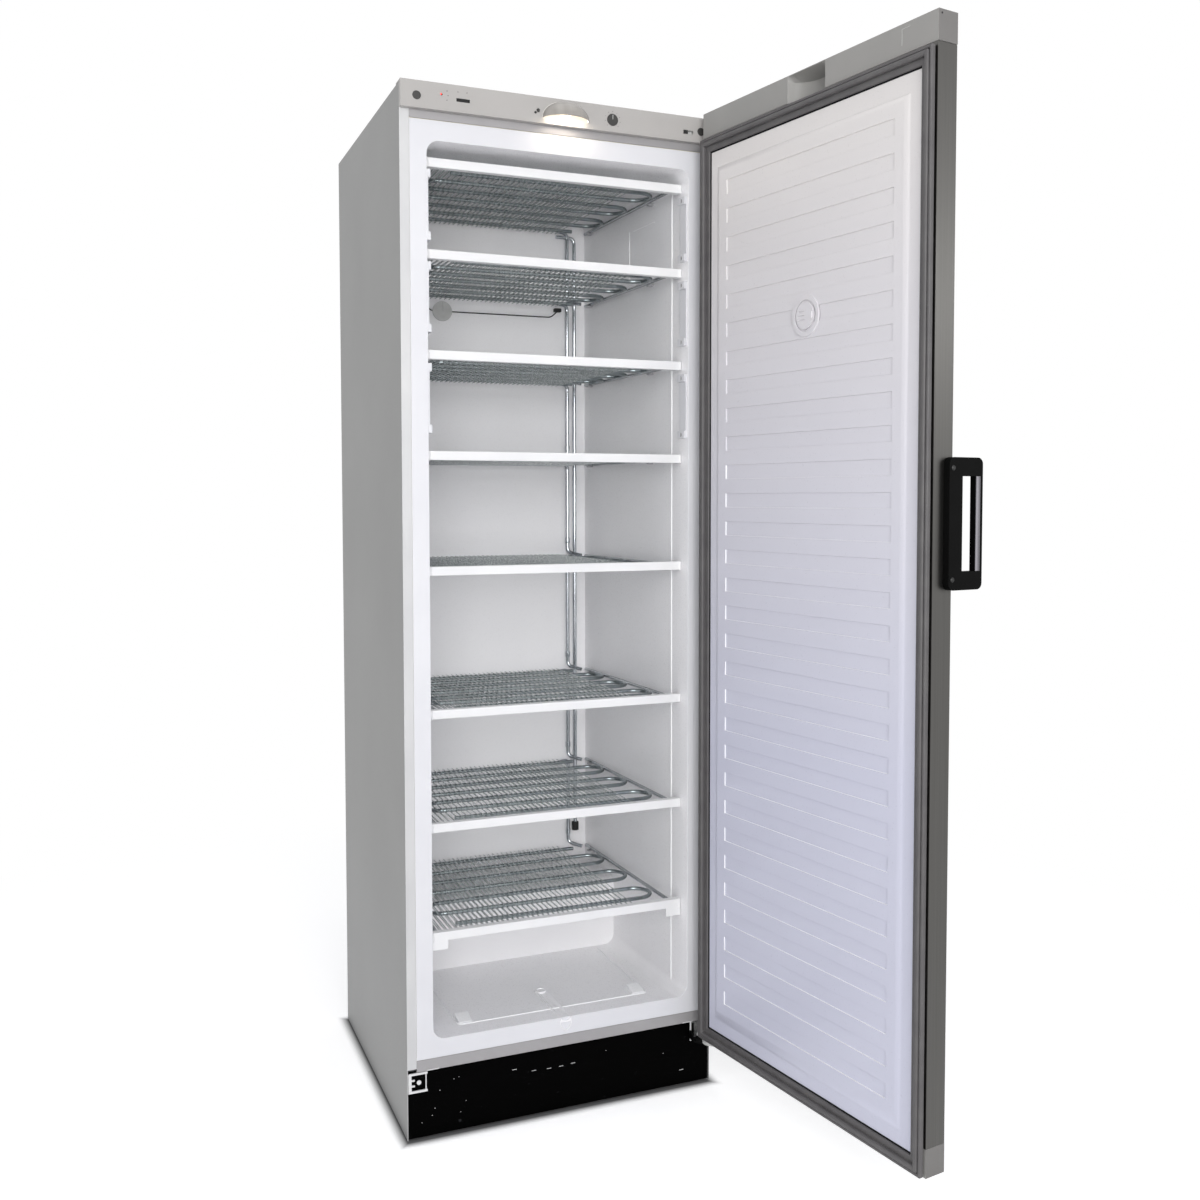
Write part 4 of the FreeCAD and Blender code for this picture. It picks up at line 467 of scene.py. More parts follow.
nodeFinish = {
    "side_panel_left": sideGrey, "side_panel_right": sideGrey, "top_panel": sideGrey, "back_panel": backZinc,
    "top_rail": railGrey, "bottom_rail": railGrey, "base_frame": baseZinc, "kick_plate": kickBlack,
    "foot_left": blackPlastic, "foot_right": blackPlastic, "roller_left": blackPlastic, "roller_right": blackPlastic,
    "inner_liner": linerWhite, "insulation_foam": foamCream, "control_fascia": fasciaGrey, "fascia_plugs": plugGrey,
    "indicator_module": displayBlack, "thermostat_knob": plugGrey, "thermostat_body": sensorGrey,
    "switch_housing": sensorGrey, "switch_slider": blackPlastic, "door_switch_body": sensorGrey,
    "door_switch_plunger": plugGrey, "lamp_cowl": cowlGrey, "lamp_bulb": bulbGlow, "lamp_holder": trimWhite,
    "shelf_trims": trimWhite, "shelf_supports": supportPaintedShade, "riser_tubes": riserChrome, "riser_grommet": blackRubber,
    "flap_strips": stripWhiteAndRimShade, "temperature_sensor": sensorGrey, "compressor": machineBlack,
    "compressor_feet": blackRubber, "drain_tray": blackPlastic, "condenser": machineBlack,
    "refrigerant_lines": copperTube, "mains_inlet": blackPlastic, "lower_hinge_bracket": hingeSteel,
    "spare_hinge_bracket": bracketWhite, "upper_hinge_plate": hingeSteel, "door_skin": doorSteel,
    "door_top_cap": capGrey, "door_bottom_cap": capGrey, "door_foam": foamCream, "door_liner": doorWhite,
    "door_gasket": sealGrey, "pressure_valve": trimWhite, "door_handle": handleBlack, "handle_inlay": inlaySilver,
    "handle_screws": machineBlack, "hinge_bushes": bushWhite,
}
for number in range(1, 9):
    nodeFinish["evaporator_shelf_%d" % number] = wireSilver
for name, material in nodeFinish.items():
    node = nodes[name]
    node.data.materials.clear()
    node.data.materials.append(material)
print("solids dressed")

linerField = {"half": 0.238, "low": 0.175, "high": 1.738, "face": -0.2935, "border": -0.297, "roll": 0.0060,
              "side": 0.009, "top": 0.006, "foot": 0.016}

# pieces with the solid's own form and softer edges: body, slot and width of the rounding
softEdges = {
    "control_fascia": ("cabinet", "fascia_grey", 0.0008),
    "shelf_trims": ("cabinet", "trim_white", 0.0012),
    "shelf_supports": ("cabinet", "trim_white", 0.0014),
    "flap_strips": ("cabinet", "trim_white", 0.0005),
    "kick_plate": ("cabinet", "black_plastic", 0.001),
    "top_panel": ("cabinet", "body_paint", 0.0003),
    "side_panel_left": ("cabinet", "body_paint", 0.0002),
    "spare_hinge_bracket": ("cabinet", "bracket_white", 0.0004),
    "lower_hinge_bracket": ("cabinet", "hinge_steel", 0.0005),
    "thermostat_knob": ("knob", "plug_grey", 0.0003),
    "door_bottom_cap": ("door", "cap_grey", 0.0012),
    "door_top_cap": ("door", "cap_grey", 0.0012),
    "door_handle": ("door", "black_plastic", 0.003),
    "door_liner": ("door", "door_liner_white", 0.0005),
    "inner_liner": ("cabinet", "liner_white", 0.0007),
}
for name, (body, slotName, width) in softEdges.items():
    dress(softCopy(name, width), body, slotName, nodeFinish[name], name)

outward = Matrix.Rotation(math.radians(hinge["opened"]), 3, "Z") @ Vector((0, 1, 0))  # from the door's inner face
endward = Matrix.Rotation(math.radians(hinge["opened"]), 3, "Z") @ Vector((-1, 0, 0))  # from the door's free edge
accents = {
    "rimFront": -0.2835, "flangeFront": -0.27, "capEnd": -0.29, "bracketFoot": -0.2858,
    "grooveHalf": 0.230, "grooveLow": 0.2, "grooveHigh": 1.2, "grooveFloor": -0.2968, "grooveTop": -0.2936,
}


def grooveHighlightFaces(face):
    # ends and lower sides of the grooves in the door liner's lower half, which get a painted highlight
    spot = onClosedDoor(face.center)
    inField = (abs(spot.x) < accents["grooveHalf"] and accents["grooveLow"] < spot.z < accents["grooveHigh"]
               and accents["grooveFloor"] < spot.y < accents["grooveTop"])
    return inField and abs(face.normal.dot(outward)) < 0.8 and face.normal.z > -0.3


def capEnd(face):
    return face.normal.dot(endward) > 0.8 and onClosedDoor(face.center).x < accents["capEnd"]


# the flat rim round the opening gets a darker white than the walls inside: painted shade on the rim of one moulded
# white
secondMaterial(bpy.data.objects["inner_liner_soft"], stripWhiteAndRimShade,
               lambda face: face.center.y < accents["rimFront"] and face.normal.y < -0.9)
# the groove faces get the near white pad finish as a painted highlight
secondMaterial(bpy.data.objects["door_liner_soft"], padWhiteAndGrooveHighlight, grooveHighlightFaces)
# the front return of the left side panel gets a lighter copy of the side grey: a painted highlight
secondMaterial(bpy.data.objects["side_panel_left_soft"], flangePaintedHighlight,
               lambda face: face.normal.y < -0.9 and face.center.y < accents["flangeFront"])
# the free ends of both caps get a darker copy of the cap grey than their long faces: painted shade
secondMaterial(bpy.data.objects["door_top_cap_soft"], capEndPaintedShade, capEnd)
secondMaterial(bpy.data.objects["door_bottom_cap_soft"], capEndPaintedShade, capEnd)
# the hinge's foot plate is black below the bright web
secondMaterial(bpy.data.objects["lower_hinge_bracket_soft"], handleBlack,
               lambda face: face.center.y < accents["bracketFoot"])
print("edges softened")

shelf = {
    "tubeRadius": 0.004, "firstPass": -0.205, "pitch": 0.063, "passes": 7, "halfWidth": 0.218,
    "wireRadius": 0.0009, "wires": 39, "wireFrom": -0.2265, "wireTo": 0.1535,
    "wireFront": -0.2595, "wireBack": 0.187, "wireLevel": 0.0046,
    "barRadius": 0.0038, "barFront": 0.232, "barBack": 0.224,
}


def coilPath():
    points = []
    inner = shelf["halfWidth"] - shelf["pitch"] / 2
    side = 1
    for index in range(shelf["passes"]):
        along = shelf["firstPass"] + shelf["pitch"] * index
        points += [(-side * inner, along, 0), (side * inner, along, 0)]
        if index < shelf["passes"] - 1:
            for step in range(1, 12):
                turn = math.pi * step / 12
                reach = inner + shelf["pitch"] / 2 * math.sin(turn)
                points.append((side * reach, along + shelf["pitch"] / 2 * (1 - math.cos(turn)), 0))
        side = -side
    return points


def wireLayer(name, level):
    length = shelf["wireBack"] - shelf["wireFront"]
    middle = (shelf["wireFrom"], (shelf["wireFront"] + shelf["wireBack"]) / 2, level)
    wire = drum(name, middle, shelf["wireRadius"], length, (0, 1, 0), 6)
    rows = wire.modifiers.new("rows", "ARRAY")
    rows.use_relative_offset = False
    rows.use_constant_offset = True
    rows.count = shelf["wires"]
    rows.constant_offset_displace = ((shelf["wireTo"] - shelf["wireFrom"]) / (shelf["wires"] - 1), 0, 0)
    return smooth(applyAll(wire), 80)


coil = tube("shelf_coil", coilPath(), shelf["tubeRadius"], 12)
coil.data.materials.append(tubeGrey)
layers = [wireLayer("wires_over", shelf["wireLevel"]), wireLayer("wires_under", -shelf["wireLevel"])]
wires = join("shelf_wires", layers)
wires.data.materials.append(wireSilver)
bars = []
for side in (-1, 1):
    ends = [(side * shelf["barFront"], shelf["wireFront"], 0), (side * shelf["barBack"], shelf["wireBack"], 0)]
    bars.append(tube("shelf_bar", ends, shelf["barRadius"], 12))
bar = join("shelf_bars", bars)
bar.data.materials.append(barSteel)
pattern = join("shelf_pattern", [coil, wires, bar])
for number, level in enumerate(shelfLevels, start=1):
    grid = copyOf(pattern, "shelf_grid_%d" % number, (0, 0, level))
    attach(grid, "cabinet")
    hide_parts("evaporator_shelf_%d" % number)
pick(pattern)
bpy.ops.object.delete()
print("shelves made")

riser = {
    "first": 0.1835, "second": 0.2005, "along": 0.195, "lead": 0.158, "leadAlong": 0.1813, "topLevel": 1.7144,
    "foot": 0.2095, "footAlong": 0.176, "lowest": 0.394, "radius": 0.004, "bend": 0.014,
    "collar": 0.0052, "collarLength": 0.012, "clip": (0.1535, 0.190, 1.5505),
}
runs = []
collars = []
for upper, lower in zip(shelfLevels, shelfLevels[1:]):
    points = [(riser["lead"], riser["leadAlong"], upper), (riser["first"], riser["along"], upper),
              (riser["first"], riser["along"], lower + 0.009), (riser["foot"], riser["footAlong"], lower + 0.002)]
    runs.append(tube("riser_run", points, riser["radius"], 16, corner=riser["bend"]))
    collars.append(drum("riser_collar", (riser["first"], riser["along"], lower + 0.035), riser["collar"],
                        riser["collarLength"], (0, 0, 1), 20, 0.001))
points = [(riser["lead"], 0.194, riser["topLevel"]), (riser["second"], riser["along"], riser["topLevel"]),
          (riser["second"], riser["along"], riser["lowest"])]
runs.append(tube("riser_run", points, riser["radius"], 16, corner=riser["bend"]))
dress(join("riser_run_all", runs + collars), "cabinet", "riser_chrome", riserChrome, "riser_tubes")
low = riser["clip"]
clip = block("riser_clip", low, (low[0] + 0.016, low[1] + 0.011, low[2] + 0.008), 0.0015)
dress(clip, "cabinet", "black_rubber", blackRubber)
print("risers made")

sensor = {"across": -0.0975, "level": 1.538, "radius": 0.021, "thick": 0.005, "wall": 0.2027, "lead": 0.0012}


def makeSensor():
    # a round sensor with a shallow key cut, and its dark capillary in two runs
    disc = drum("sensor_disc", (sensor["across"], sensor["wall"] - sensor["thick"] / 2, sensor["level"]),
                sensor["radius"], sensor["thick"], (0, 1, 0), 48)
    front = sensor["wall"] - sensor["thick"]
    key = block("key", (sensor["across"] - 0.0007, front - 0.002, sensor["level"]),
                (sensor["across"] + 0.0007, front + 0.0012, sensor["level"] + 0.03))
    disc = softenEdges(cutAway(disc, key), 0.0006)
    along = sensor["wall"] - 0.0022
    level = sensor["level"]
    right = [(-0.0763, along, level), (0.148, along, level + 0.001), (0.163, along, 1.553)]
    left = [(-0.1187, along, level), (-0.128, along, level + 0.004), (-0.131, along, 1.580)]
    leads = [tube("sensor_lead", right, sensor["lead"], 12, corner=0.02),
             tube("sensor_lead", left, sensor["lead"], 12, corner=0.012)]
    dress(disc, "cabinet", "sensor_grey", sensorGrey, "temperature_sensor")
    dress(join("sensor_leads", leads), "cabinet", "black_rubber", blackRubber)


makeSensor()
print("sensor made")

wall = {
    "half": 0.2442, "bead": 0.0016, "creaseAlong": -0.2245, "creaseLow": 0.186, "creaseHigh": 1.742,
    "trimEnd": 0.0065, "trimFront": -0.2632, "trimBack": -0.2466, "screwAlong": -0.2685,
    "pad": (0.174, -0.208), "padHalf": (0.013, 0.016), "floor": 0.1738,
    "drainAlong": -0.1416, "drainRadius": 0.0115, "channelHalf": 0.0105,
    "panelHalf": 0.19, "panelFront": -0.2305, "panelBack": 0.03,
    "troughRadius": 0.0128, "troughLift": 0.0115, "spoutDrop": 0.0185,
    "markUpright": [(0.2372, -0.0335, 1.585), (0.2372, -0.0335, 1.6865)],
    "markArm": [(0.2378, -0.052, 1.684), (0.2410, -0.150, 1.684)],
}


def wallDetails():
    # fine beads and pads moulded into the liner
    pieces = []
    pads = []
    for side in (-1, 1):
        line = [(side * wall["half"], wall["creaseAlong"], wall["creaseLow"]),
                (side * wall["half"], wall["creaseAlong"], wall["creaseHigh"])]
        pieces.append(tube("crease_bead", line, wall["bead"], 8))
        across, along = side * wall["pad"][0], wall["pad"][1]
        halfX, halfY = wall["padHalf"]
        pad = block("floor_pad", (across - halfX, along - halfY, wall["floor"] - 0.002),
                    (across + halfX, along + halfY, wall["floor"] + 0.0012))
        startEdit(pad, "VERT")
        for point in pad.data.vertices:
            point.select = point.co.z > wall["floor"] and point.co.y > along
        bpy.ops.object.mode_set(mode="EDIT")
        bpy.ops.transform.translate(value=(0, 0, 0.0060))
        endEdit()
        pads.append(softenEdges(pad, 0.0009))
    level = wall["floor"] + 0.0002
    panel = [(-wall["panelHalf"], wall["panelBack"], level - 0.001), (-wall["panelHalf"], wall["panelFront"], level),
             (wall["panelHalf"], wall["panelFront"], level), (wall["panelHalf"], wall["panelBack"], level - 0.001)]
    pieces.append(tube("panel_bead", panel, 0.0014, 8, corner=0.012))
    dress(join("floor_pads", pads), "cabinet", "liner_white", padWhiteAndGrooveHighlight)
    dress(join("liner_beads", pieces), "cabinet", "liner_white", padWhiteAndGrooveHighlight)


def drainChannel():
    # an open channel that runs from the drain boss to a small spout at the front edge
    level = wall["floor"]
    along = wall["drainAlong"]
    half = wall["channelHalf"]
    boss = drum("drain_boss", (0, along, level), wall["drainRadius"], 0.006, (0, 0, 1), 40)
    well = drum("well", (0, along, level + 0.004), wall["drainRadius"] - 0.0035, 0.006, (0, 0, 1), 40)
    pieces = [softenEdges(cutAway(boss, well), 0.0009)]
    body = block("channel", (-half, -0.2872, level - 0.004), (half, along - 0.008, level + 0.0034))
    trough = drum("trough", (0, (along - 0.29) / 2, level + wall["troughLift"]), wall["troughRadius"], 0.2,
                  (0, 1, 0), 48)
    pieces.append(softenEdges(cutAway(body, trough), 0.0008))
    lip = []
    for step in range(13):
        turn = math.pi * step / 12
        drop = wall["spoutDrop"] * math.sin(turn)
        lip.append((-half * 1.05 * math.cos(turn), -0.2862, level - 0.0005 - drop))
    pieces.append(tube("spout_lip", lip, 0.0009, 8))
    return dress(join("drain_channel", pieces), "cabinet", "liner_white", linerWhite)


def trimEnds():
    # a rounded cap on each end of every shelf trim
    pieces = []
    for level in shelfLevels:
        for side in (-1, 1):
            inner, outer = sorted((side * (0.2468 - wall["trimEnd"]), side * 0.2468))
            pieces.append(block("trim_cap", (inner, wall["trimFront"], level - 0.0090),
                                (outer, wall["trimBack"], level + 0.0090), 0.0032, 3))
    return dress(join("trim_caps", pieces), "cabinet", "trim_white", trimWhite)


def stripScrews():
    # two screws in each clip strip, one above and one below
    pieces = []
    for level in shelfLevels[:3]:
        for side in (-1, 1):
            for drop in (0.0243, 0.1310):
                spot = (side * 0.2421, wall["screwAlong"], level - drop)
                head = drum("screw_head", spot, 0.0043, 0.0016, (1, 0, 0), 24, 0.0005)
                slot = block("slot", (spot[0] - 0.002, spot[1] - 0.0005, spot[2] - 0.0045),
                             (spot[0] + 0.002, spot[1] + 0.0005, spot[2] + 0.0045))
                pieces.append(cutAway(head, slot))
    return dress(join("strip_screws", pieces), "cabinet", "sensor_grey", screwGrey)


def wallMark():
    # a faint raised angle that the forming tool left in the right wall
    upright = tube("mark_line", wall["markUpright"], 0.0014, 8)
    arm = tube("mark_line", wall["markArm"], 0.0010, 8)
    return dress(join("wall_mark", [upright, arm]), "cabinet", "liner_white", linerWhite)


wallDetails()
drainChannel()
trimEnds()
stripScrews()
wallMark()
print("liner details made")

fascia = {
    "face": -0.2964, "led": (-0.2271, 1.8313), "ledRadius": 0.0013,
    "marks": [(-0.2165, 1.8377), (-0.2148, 1.8300), (-0.2167, 1.8222), (-0.1972, 1.8385), (-0.1812, 1.8388)],
    "markRadius": 0.0008, "ticks": 9, "tickRing": 0.0148, "screw": (-0.0566, 1.8213), "screwRadius": 0.0022,
}


def fasciaDetails():
    face = fascia["face"]
    dots = []
    for across, level in fascia["marks"]:
        dots.append(drum("mark", (across, face, level), fascia["markRadius"], 0.0004, (0, 1, 0), 16))
    for index in range(fascia["ticks"]):
        turn = math.radians(-135 + 270 * index / (fascia["ticks"] - 1))
        spot = (0.0909 + fascia["tickRing"] * math.sin(turn), face, 1.8256 + fascia["tickRing"] * math.cos(turn))
        dots.append(drum("tick", spot, 0.00055, 0.0004, (0, 1, 0), 12))
    across, level = fascia["screw"]
    dots.append(drum("fascia_screw", (across, face, level), fascia["screwRadius"], 0.0016, (0, 1, 0), 24, 0.0004))
    dress(join("fascia_marks", dots), "cabinet", "plug_grey", markBlack)
    across, level = fascia["led"]
    dress(drum("led_dot", (across, face - 0.0004, level), fascia["ledRadius"], 0.0012, (0, 1, 0), 24, 0.0003),
          "cabinet", "display_black", ledRed)
    pointer = block("knob_pointer", (0.0904, -0.2979, 1.8262), (0.0914, -0.2972, 1.8346), 0.0002)
    dress(pointer, "knob", "plug_grey", sensorGrey)


kick = {
    "face": -0.2806, "dashHalf": 0.0042, "dashThin": 0.0004, "fleckRadius": 0.0006,
    "dashes": [(-0.0985, 0.0946), (-0.0609, 0.0860), (-0.0316, 0.0845), (-0.0080, 0.0846), (0.0158, 0.0860),
               (0.2400, 0.0317)],
    "flecks": [(-0.262, 0.094), (-0.238, 0.083), (-0.212, 0.099), (-0.203, 0.101), (-0.247, 0.052),
               (-0.190, 0.055), (-0.200, 0.036), (-0.252, 0.040), (0.082, 0.098), (0.201, 0.071), (-0.271, 0.030)],
}


def kickGlints():
    # small pale dashes and flecks on the black plate: painted glints
    face = kick["face"]
    half = kick["dashHalf"]
    thin = kick["dashThin"]
    pieces = []
    for across, level in kick["dashes"]:
        pieces.append(block("dash", (across - half, face, level - thin), (across + half, face + 0.001, level + thin)))
    for across, level in kick["flecks"]:
        pieces.append(drum("fleck", (across, face + 0.0004, level), kick["fleckRadius"], 0.001, (0, 1, 0), 10))
    dress(join("kick_glints", pieces), "cabinet", "bracket_white", bracketWhite)


brackets = {
    "clip": (-0.2760, -0.2822, 0.1050), "clipRadius": 0.0042,
    "bar": ((-0.2645, -0.2834, 0.0885), (-0.2625, -0.2812, 0.1215)),
    "edge": ((0.2566, -0.2842, 0.0872), (0.2592, -0.2832, 0.1253)),
    "screw": (0.2745, -0.2845, 0.0975), "screwRadius": 0.0034,
    "slitShade": ((0.2606, -0.2841, 0.0905), (0.2655, -0.2832, 0.1215)),
    "dashAcross": 0.251, "dashHalf": 0.011, "dashLevels": (0.1251, 0.1264),
}


def bracketParts():
    # clip and bar in the spare bracket, edge and screw on the hinge's web, a black sheet as painted shade in its
    # slit, and a pale dash over both
    clip = drum("bracket_clip", brackets["clip"], brackets["clipRadius"], 0.0025, (0, 1, 0), 20, 0.0009)
    bar = block("bracket_bar", *brackets["bar"], 0.0004)
    edge = block("hinge_edge", *brackets["edge"], 0.0003)
    screw = drum("hinge_screw", brackets["screw"], brackets["screwRadius"], 0.0024, (0, 1, 0), 20, 0.0007)
    dress(join("bracket_parts", [clip, bar, edge, screw]), "cabinet", "hinge_steel", bracketWhite)
    # a black sheet on the web: painted shade standing for the slit
    dress(block("hinge_slit_shade", *brackets["slitShade"], 0.0004), "cabinet", "hinge_steel", handleBlack)
    dashes = []
    low, high = brackets["dashLevels"]
    for side in (-1, 1):
        middle = side * brackets["dashAcross"]
        dashes.append(block("rail_dash", (middle - brackets["dashHalf"], -0.2856, low),
                            (middle + brackets["dashHalf"], -0.2846, high)))
    dress(join("rail_dashes", dashes), "cabinet", "bracket_white", bracketWhite)


fasciaDetails()
kickGlints()
bracketParts()
print("fascia details made")

lamp = {"halfWidth": 0.0438, "reach": 0.0308, "rise": 0.0308, "base": 1.8141, "face": -0.2966, "wall": 0.0016}


def makeCowl():
    # a quarter of a long ball, open below and behind
    deselectAll()
    bpy.ops.mesh.primitive_uv_sphere_add(segments=64, ring_count=32, radius=1,
                                         location=(0, lamp["face"], lamp["base"]))
    cowl = bpy.context.object
    cowl.name = "lamp_cowl_dome"
    cowl.scale = (lamp["halfWidth"], lamp["reach"], lamp["rise"])
    settle(cowl)
    for normal in ((0, 0, 1), (0, -1, 0)):
        bpy.ops.object.mode_set(mode="EDIT")
        bpy.ops.mesh.select_all(action="SELECT")
        bpy.ops.mesh.bisect(plane_co=(0, lamp["face"], lamp["base"]), plane_no=normal, clear_inner=True)
        endEdit()
    thicken = cowl.modifiers.new("wall", "SOLIDIFY")
    thicken.thickness = lamp["wall"]
    thicken.offset = -1
    applyAll(cowl)
    smooth(cowl, 40)
    dress(cowl, "cabinet", "cowl_clear", cowlGrey, "lamp_cowl")
    centre = Vector((0, lamp["face"], lamp["base"]))
    # the inner faces glow: painted light from the bulb inside
    secondMaterial(cowl, cowlPaintedGlow, lambda face: face.normal.dot(face.center - centre) < 0)
    # a pale rod round the cowl's front edge: a painted highlight on its rim
    arc = []
    for step in range(33):
        turn = math.pi * step / 32
        arc.append((lamp["halfWidth"] * math.cos(turn), lamp["face"] - 0.0006,
                    lamp["base"] + lamp["rise"] * math.sin(turn)))
    rim = tube("cowl_rim_highlight", arc, 0.0010, 8)
    dress(rim, "cabinet", "cowl_clear", cowlRimHighlight)


makeCowl()
print("cowl made")


def dressDoor(piece, slotName, material, *replaced):
    return dress(swungOpen(piece), "door", slotName, material, *replaced)


gasket = {
    "outer": (-0.2950, 0.1105, 0.2925, 1.7995), "seat": -0.2970, "lip": 0.0056, "lipTop": -0.2884,
    "bead": 0.0088, "beadTop": -0.2862, "skirt": 0.0250, "skirtTop": -0.2930, "gap": 0.0274, "gapTop": -0.2966,
}


def makeGasket():
    # an outer lip, a hollow magnet bead and a folded skirt, and a thin dark sheet between skirt and liner as painted
    # shade in the gap
    outer = gasket["outer"]
    inner = inset(outer, gasket["lip"])
    lip = softenEdges(frameRing("gasket_lip", outer, inner, gasket["seat"], gasket["lipTop"]), 0.0022, 3)
    start = inset(outer, gasket["lip"] + 0.0004)
    bead = frameRing("gasket_bead", start, inset(start, gasket["bead"]), gasket["seat"], gasket["beadTop"])
    bead = softenEdges(bead, 0.0032, 4)
    skirt = frameRing("gasket_skirt", inset(outer, gasket["lip"] + gasket["bead"] - 0.0010),
                      inset(outer, gasket["skirt"]), gasket["seat"], gasket["skirtTop"])
    skirt = softenEdges(skirt, 0.0016, 3)
    dressDoor(join("gasket_folds", [lip, bead, skirt]), "seal_rubber", sealGrey, "door_gasket")
    # a thin dark sheet under the folds: painted shade where the gasket meets the liner
    channel = frameRing("gasket_channel", inset(outer, 0.004), inset(outer, gasket["gap"]),
                        gasket["seat"] + 0.0001, gasket["gapTop"])
    dressDoor(channel, "seal_rubber", sealPaintedShade)


valve = {"across": -0.0105, "level": 1.442, "seat": -0.2937, "outer": 0.0345, "ring": 0.0085, "ringTop": -0.2908,
         "disc": 0.0225, "discTop": -0.2898}


def makeValve():
    # a flat ring with a slotted disc in its middle
    across, level, seat = valve["across"], valve["level"], valve["seat"]

    def disc(name, radius, top):
        return drum(name, (across, (seat + top) / 2, level), radius, top - seat, (0, 1, 0), 64)

    ring = cutAway(disc("valve_ring", valve["outer"], valve["ringTop"]),
                   drum("hole", (across, seat, level), valve["outer"] - valve["ring"], 0.02, (0, 1, 0), 64))
    ring = softenEdges(ring, 0.0010)
    cover = disc("valve_cover", valve["disc"], valve["discTop"])
    for step in (-1, 0, 1):
        slot = block("slot", (across + 0.001, valve["discTop"] - 0.0015, level + step * 0.007 - 0.0009),
                     (across + 0.017, valve["discTop"] + 0.002, level + step * 0.007 + 0.0009))
        cover = cutAway(cover, slot)
    notch = block("notch", (across - 0.026, valve["discTop"] - 0.0024, level - 0.006),
                  (across - 0.017, valve["discTop"] + 0.002, level + 0.006))
    cover = softenEdges(cutAway(cover, notch), 0.0005)
    dressDoor(join("valve_cover_ring", [ring, cover]), "trim_white", doorWhite, "pressure_valve")


def capDetails():
    # a shallow corner line on the top cap, and a black disc at its free corner, painted shade standing for a small
    # open hole
    line = [block("cap_line", (-0.2405, -0.2985, 1.8420), (-0.2230, -0.2982, 1.8426)),
            block("cap_line", (-0.2236, -0.2985, 1.8180), (-0.2230, -0.2982, 1.8426))]
    dressDoor(join("cap_line_all", line), "cap_grey", sensorGrey)
    # a black disc: painted shade in the open hole
    dressDoor(drum("cap_hole_shade", (-0.2984, -0.3050, 1.8440), 0.0016, 0.0008, (1, 0, 0), 20), "black_plastic", markBlack)


makeGasket()
makeValve()
capDetails()
print("door details made")


studio = {
    "halfWidth": 0.2975, "halfDepth": 0.2850, "liftEdge": 0.022, "shadeEdge": 0.016, "shade": 0.16, "pale": 0.88,
    "lift": 0.5, "fadeFrom": 0.9, "fadeTo": 2.0, "airColour": (0.95, 0.96, 1.0, 1), "air": 0.45,
}


def stageFloor():
    # pale floor that keeps the shadow near the object, with a painted contact shadow in its colour along the object's
    # footprint, and fades to white further out
    deselectAll()
    bpy.ops.mesh.primitive_plane_add(size=60, location=(0, 0, 0))
    floor = bpy.context.object
    floor.name = "studio_floor"
    material, sheets, links, shader = newFinish("studio_floor")
    shader.inputs["Roughness"].default_value = 0.95
    shader.inputs["Specular IOR Level"].default_value = 0.1
    place = sheets.new("ShaderNodeTexCoord")
    far = sheets.new("ShaderNodeVectorMath")
    far.operation = "LENGTH"
    links.new(place.outputs["Object"], far.inputs[0])
    reach = rescale(sheets, links, far.outputs["Value"], studio["fadeFrom"], studio["fadeTo"], 0, 1)
    # the extra light stops short of the object, so that its contact shadow stays
    split = sheets.new("ShaderNodeSeparateXYZ")
    links.new(place.outputs["Object"], split.inputs["Vector"])
    gaps = []
    for axis, half in (("X", studio["halfWidth"]), ("Y", studio["halfDepth"])):
        size = maths(sheets, links, "ABSOLUTE", split.outputs[axis])
        gaps.append(maths(sheets, links, "SUBTRACT", size, half))
    gap = maths(sheets, links, "MAXIMUM", *gaps)
    strength = rescale(sheets, links, gap, 0, studio["liftEdge"], 0, 1)
    lift = sheets.new("ShaderNodeEmission")
    links.new(maths(sheets, links, "MULTIPLY", strength, studio["lift"]), lift.inputs["Strength"])
    # the floor's colour goes dark right at the footprint's edge: a painted contact shadow
    links.new(rescale(sheets, links, gap, 0, studio["shadeEdge"], studio["shade"], studio["pale"]),
              shader.inputs["Base Color"])
    lifted = sheets.new("ShaderNodeAddShader")
    links.new(shader.outputs["BSDF"], lifted.inputs[0])
    links.new(lift.outputs["Emission"], lifted.inputs[1])
    white = sheets.new("ShaderNodeEmission")
    white.inputs["Strength"].default_value = 1.0
    faded = sheets.new("ShaderNodeMixShader")
    links.new(reach, faded.inputs["Fac"])
    links.new(lifted.outputs["Shader"], faded.inputs[1])
    links.new(white.outputs["Emission"], faded.inputs[2])
    chooser = sheets.new("ShaderNodeMixShader")
    links.new(seenDirectly(sheets, links), chooser.inputs["Fac"])
    links.new(shader.outputs["BSDF"], chooser.inputs[1])
    links.new(faded.outputs["Shader"], chooser.inputs[2])
    links.new(chooser.outputs["Shader"], sheets["Material Output"].inputs["Surface"])
    floor.data.materials.append(material)


def maths(sheets, links, operation, *values):
    node = sheets.new("ShaderNodeMath")
    node.operation = operation
    for place, value in zip(node.inputs, values):
        if isinstance(value, (int, float)):
            place.default_value = value
        else:
            links.new(value, place)
    return node.outputs[0]


def seenDirectly(sheets, links):
    # 1 for what the camera sees, also by way of metal or glass
    rays = sheets.new("ShaderNodeLightPath")
    total = rays.outputs["Is Camera Ray"]
    for kind in ("Is Glossy Ray", "Is Transmission Ray"):
        total = maths(sheets, links, "MAXIMUM", total, rays.outputs[kind])
    return total


stageFloor()

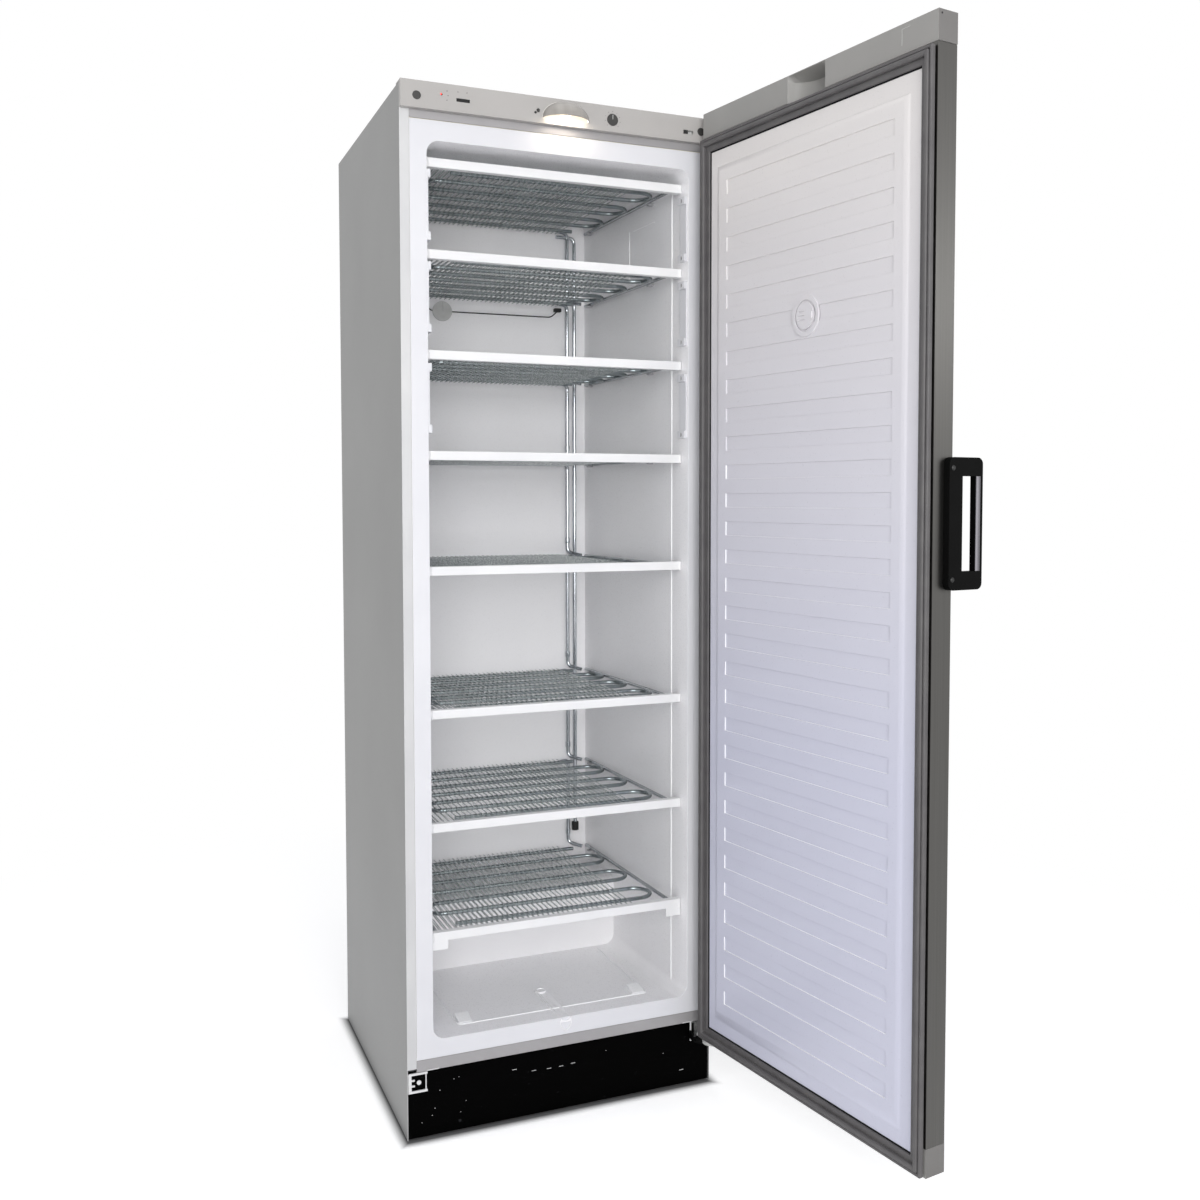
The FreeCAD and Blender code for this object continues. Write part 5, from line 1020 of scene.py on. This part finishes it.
world = bpy.data.worlds.new("studio")
bpy.context.scene.world = world
world.use_nodes = True
sheets, links = world.node_tree.nodes, world.node_tree.links
air = sheets["Background"]
air.inputs["Color"].default_value = studio["airColour"]
air.inputs["Strength"].default_value = studio["air"]
white = sheets.new("ShaderNodeBackground")
white.inputs["Color"].default_value = (1, 1, 1, 1)
white.inputs["Strength"].default_value = 1.0
chooser = sheets.new("ShaderNodeMixShader")
links.new(seenDirectly(sheets, links), chooser.inputs["Fac"])
links.new(air.outputs["Background"], chooser.inputs[1])
links.new(white.outputs["Background"], chooser.inputs[2])
links.new(chooser.outputs["Shader"], sheets["World Output"].inputs["Surface"])


def softbox(name, place, target, size, power, colour=(1, 1, 1)):
    light = bpy.data.lights.new(name, "AREA")
    light.shape = "RECTANGLE"
    light.size, light.size_y = size
    light.energy = power
    light.color = colour
    lamp = bpy.data.objects.new(name, light)
    bpy.context.collection.objects.link(lamp)
    lamp.location = place
    lamp.rotation_euler = (Vector(target) - Vector(place)).to_track_quat("-Z", "Y").to_euler()
    return lamp


softbox("front_softbox", (-1.0, -4.3, 1.7), (0.1, 0, 1.0), (2.2, 2.4), 106)
softbox("left_softbox", (-3.6, -0.4, 1.9), (0, 0, 1.0), (2.2, 2.6), 14)
softbox("top_softbox", (0.2, -0.8, 4.2), (0.1, 0, 0.8), (2.5, 2.5), 16)
softbox("right_strip", (2.9, -3.3, 1.95), (0.2, -0.8, 1.4), (0.7, 0.4), 9)
spill = softbox("cowl_spill", (0, -0.3120, 1.8120), (0, -0.2950, 1.7700), (0.06, 0.016), 0.03, (1, 0.9, 0.78))
spill.visible_camera = False

view = bpy.data.cameras.new("camera")
view.sensor_width = 36
view.lens = 37.27
view.shift_x = -0.0282
view.shift_y = -0.0363
camera = bpy.data.objects.new("camera", view)
bpy.context.collection.objects.link(camera)
camera.location = (-0.7822, -2.4125, 1.1399)
camera.rotation_euler = Euler((math.pi / 2 - 0.0469, 0, -0.4081))
bpy.context.scene.camera = camera
bpy.context.scene.view_settings.view_transform = "Standard"
print("stage ready")
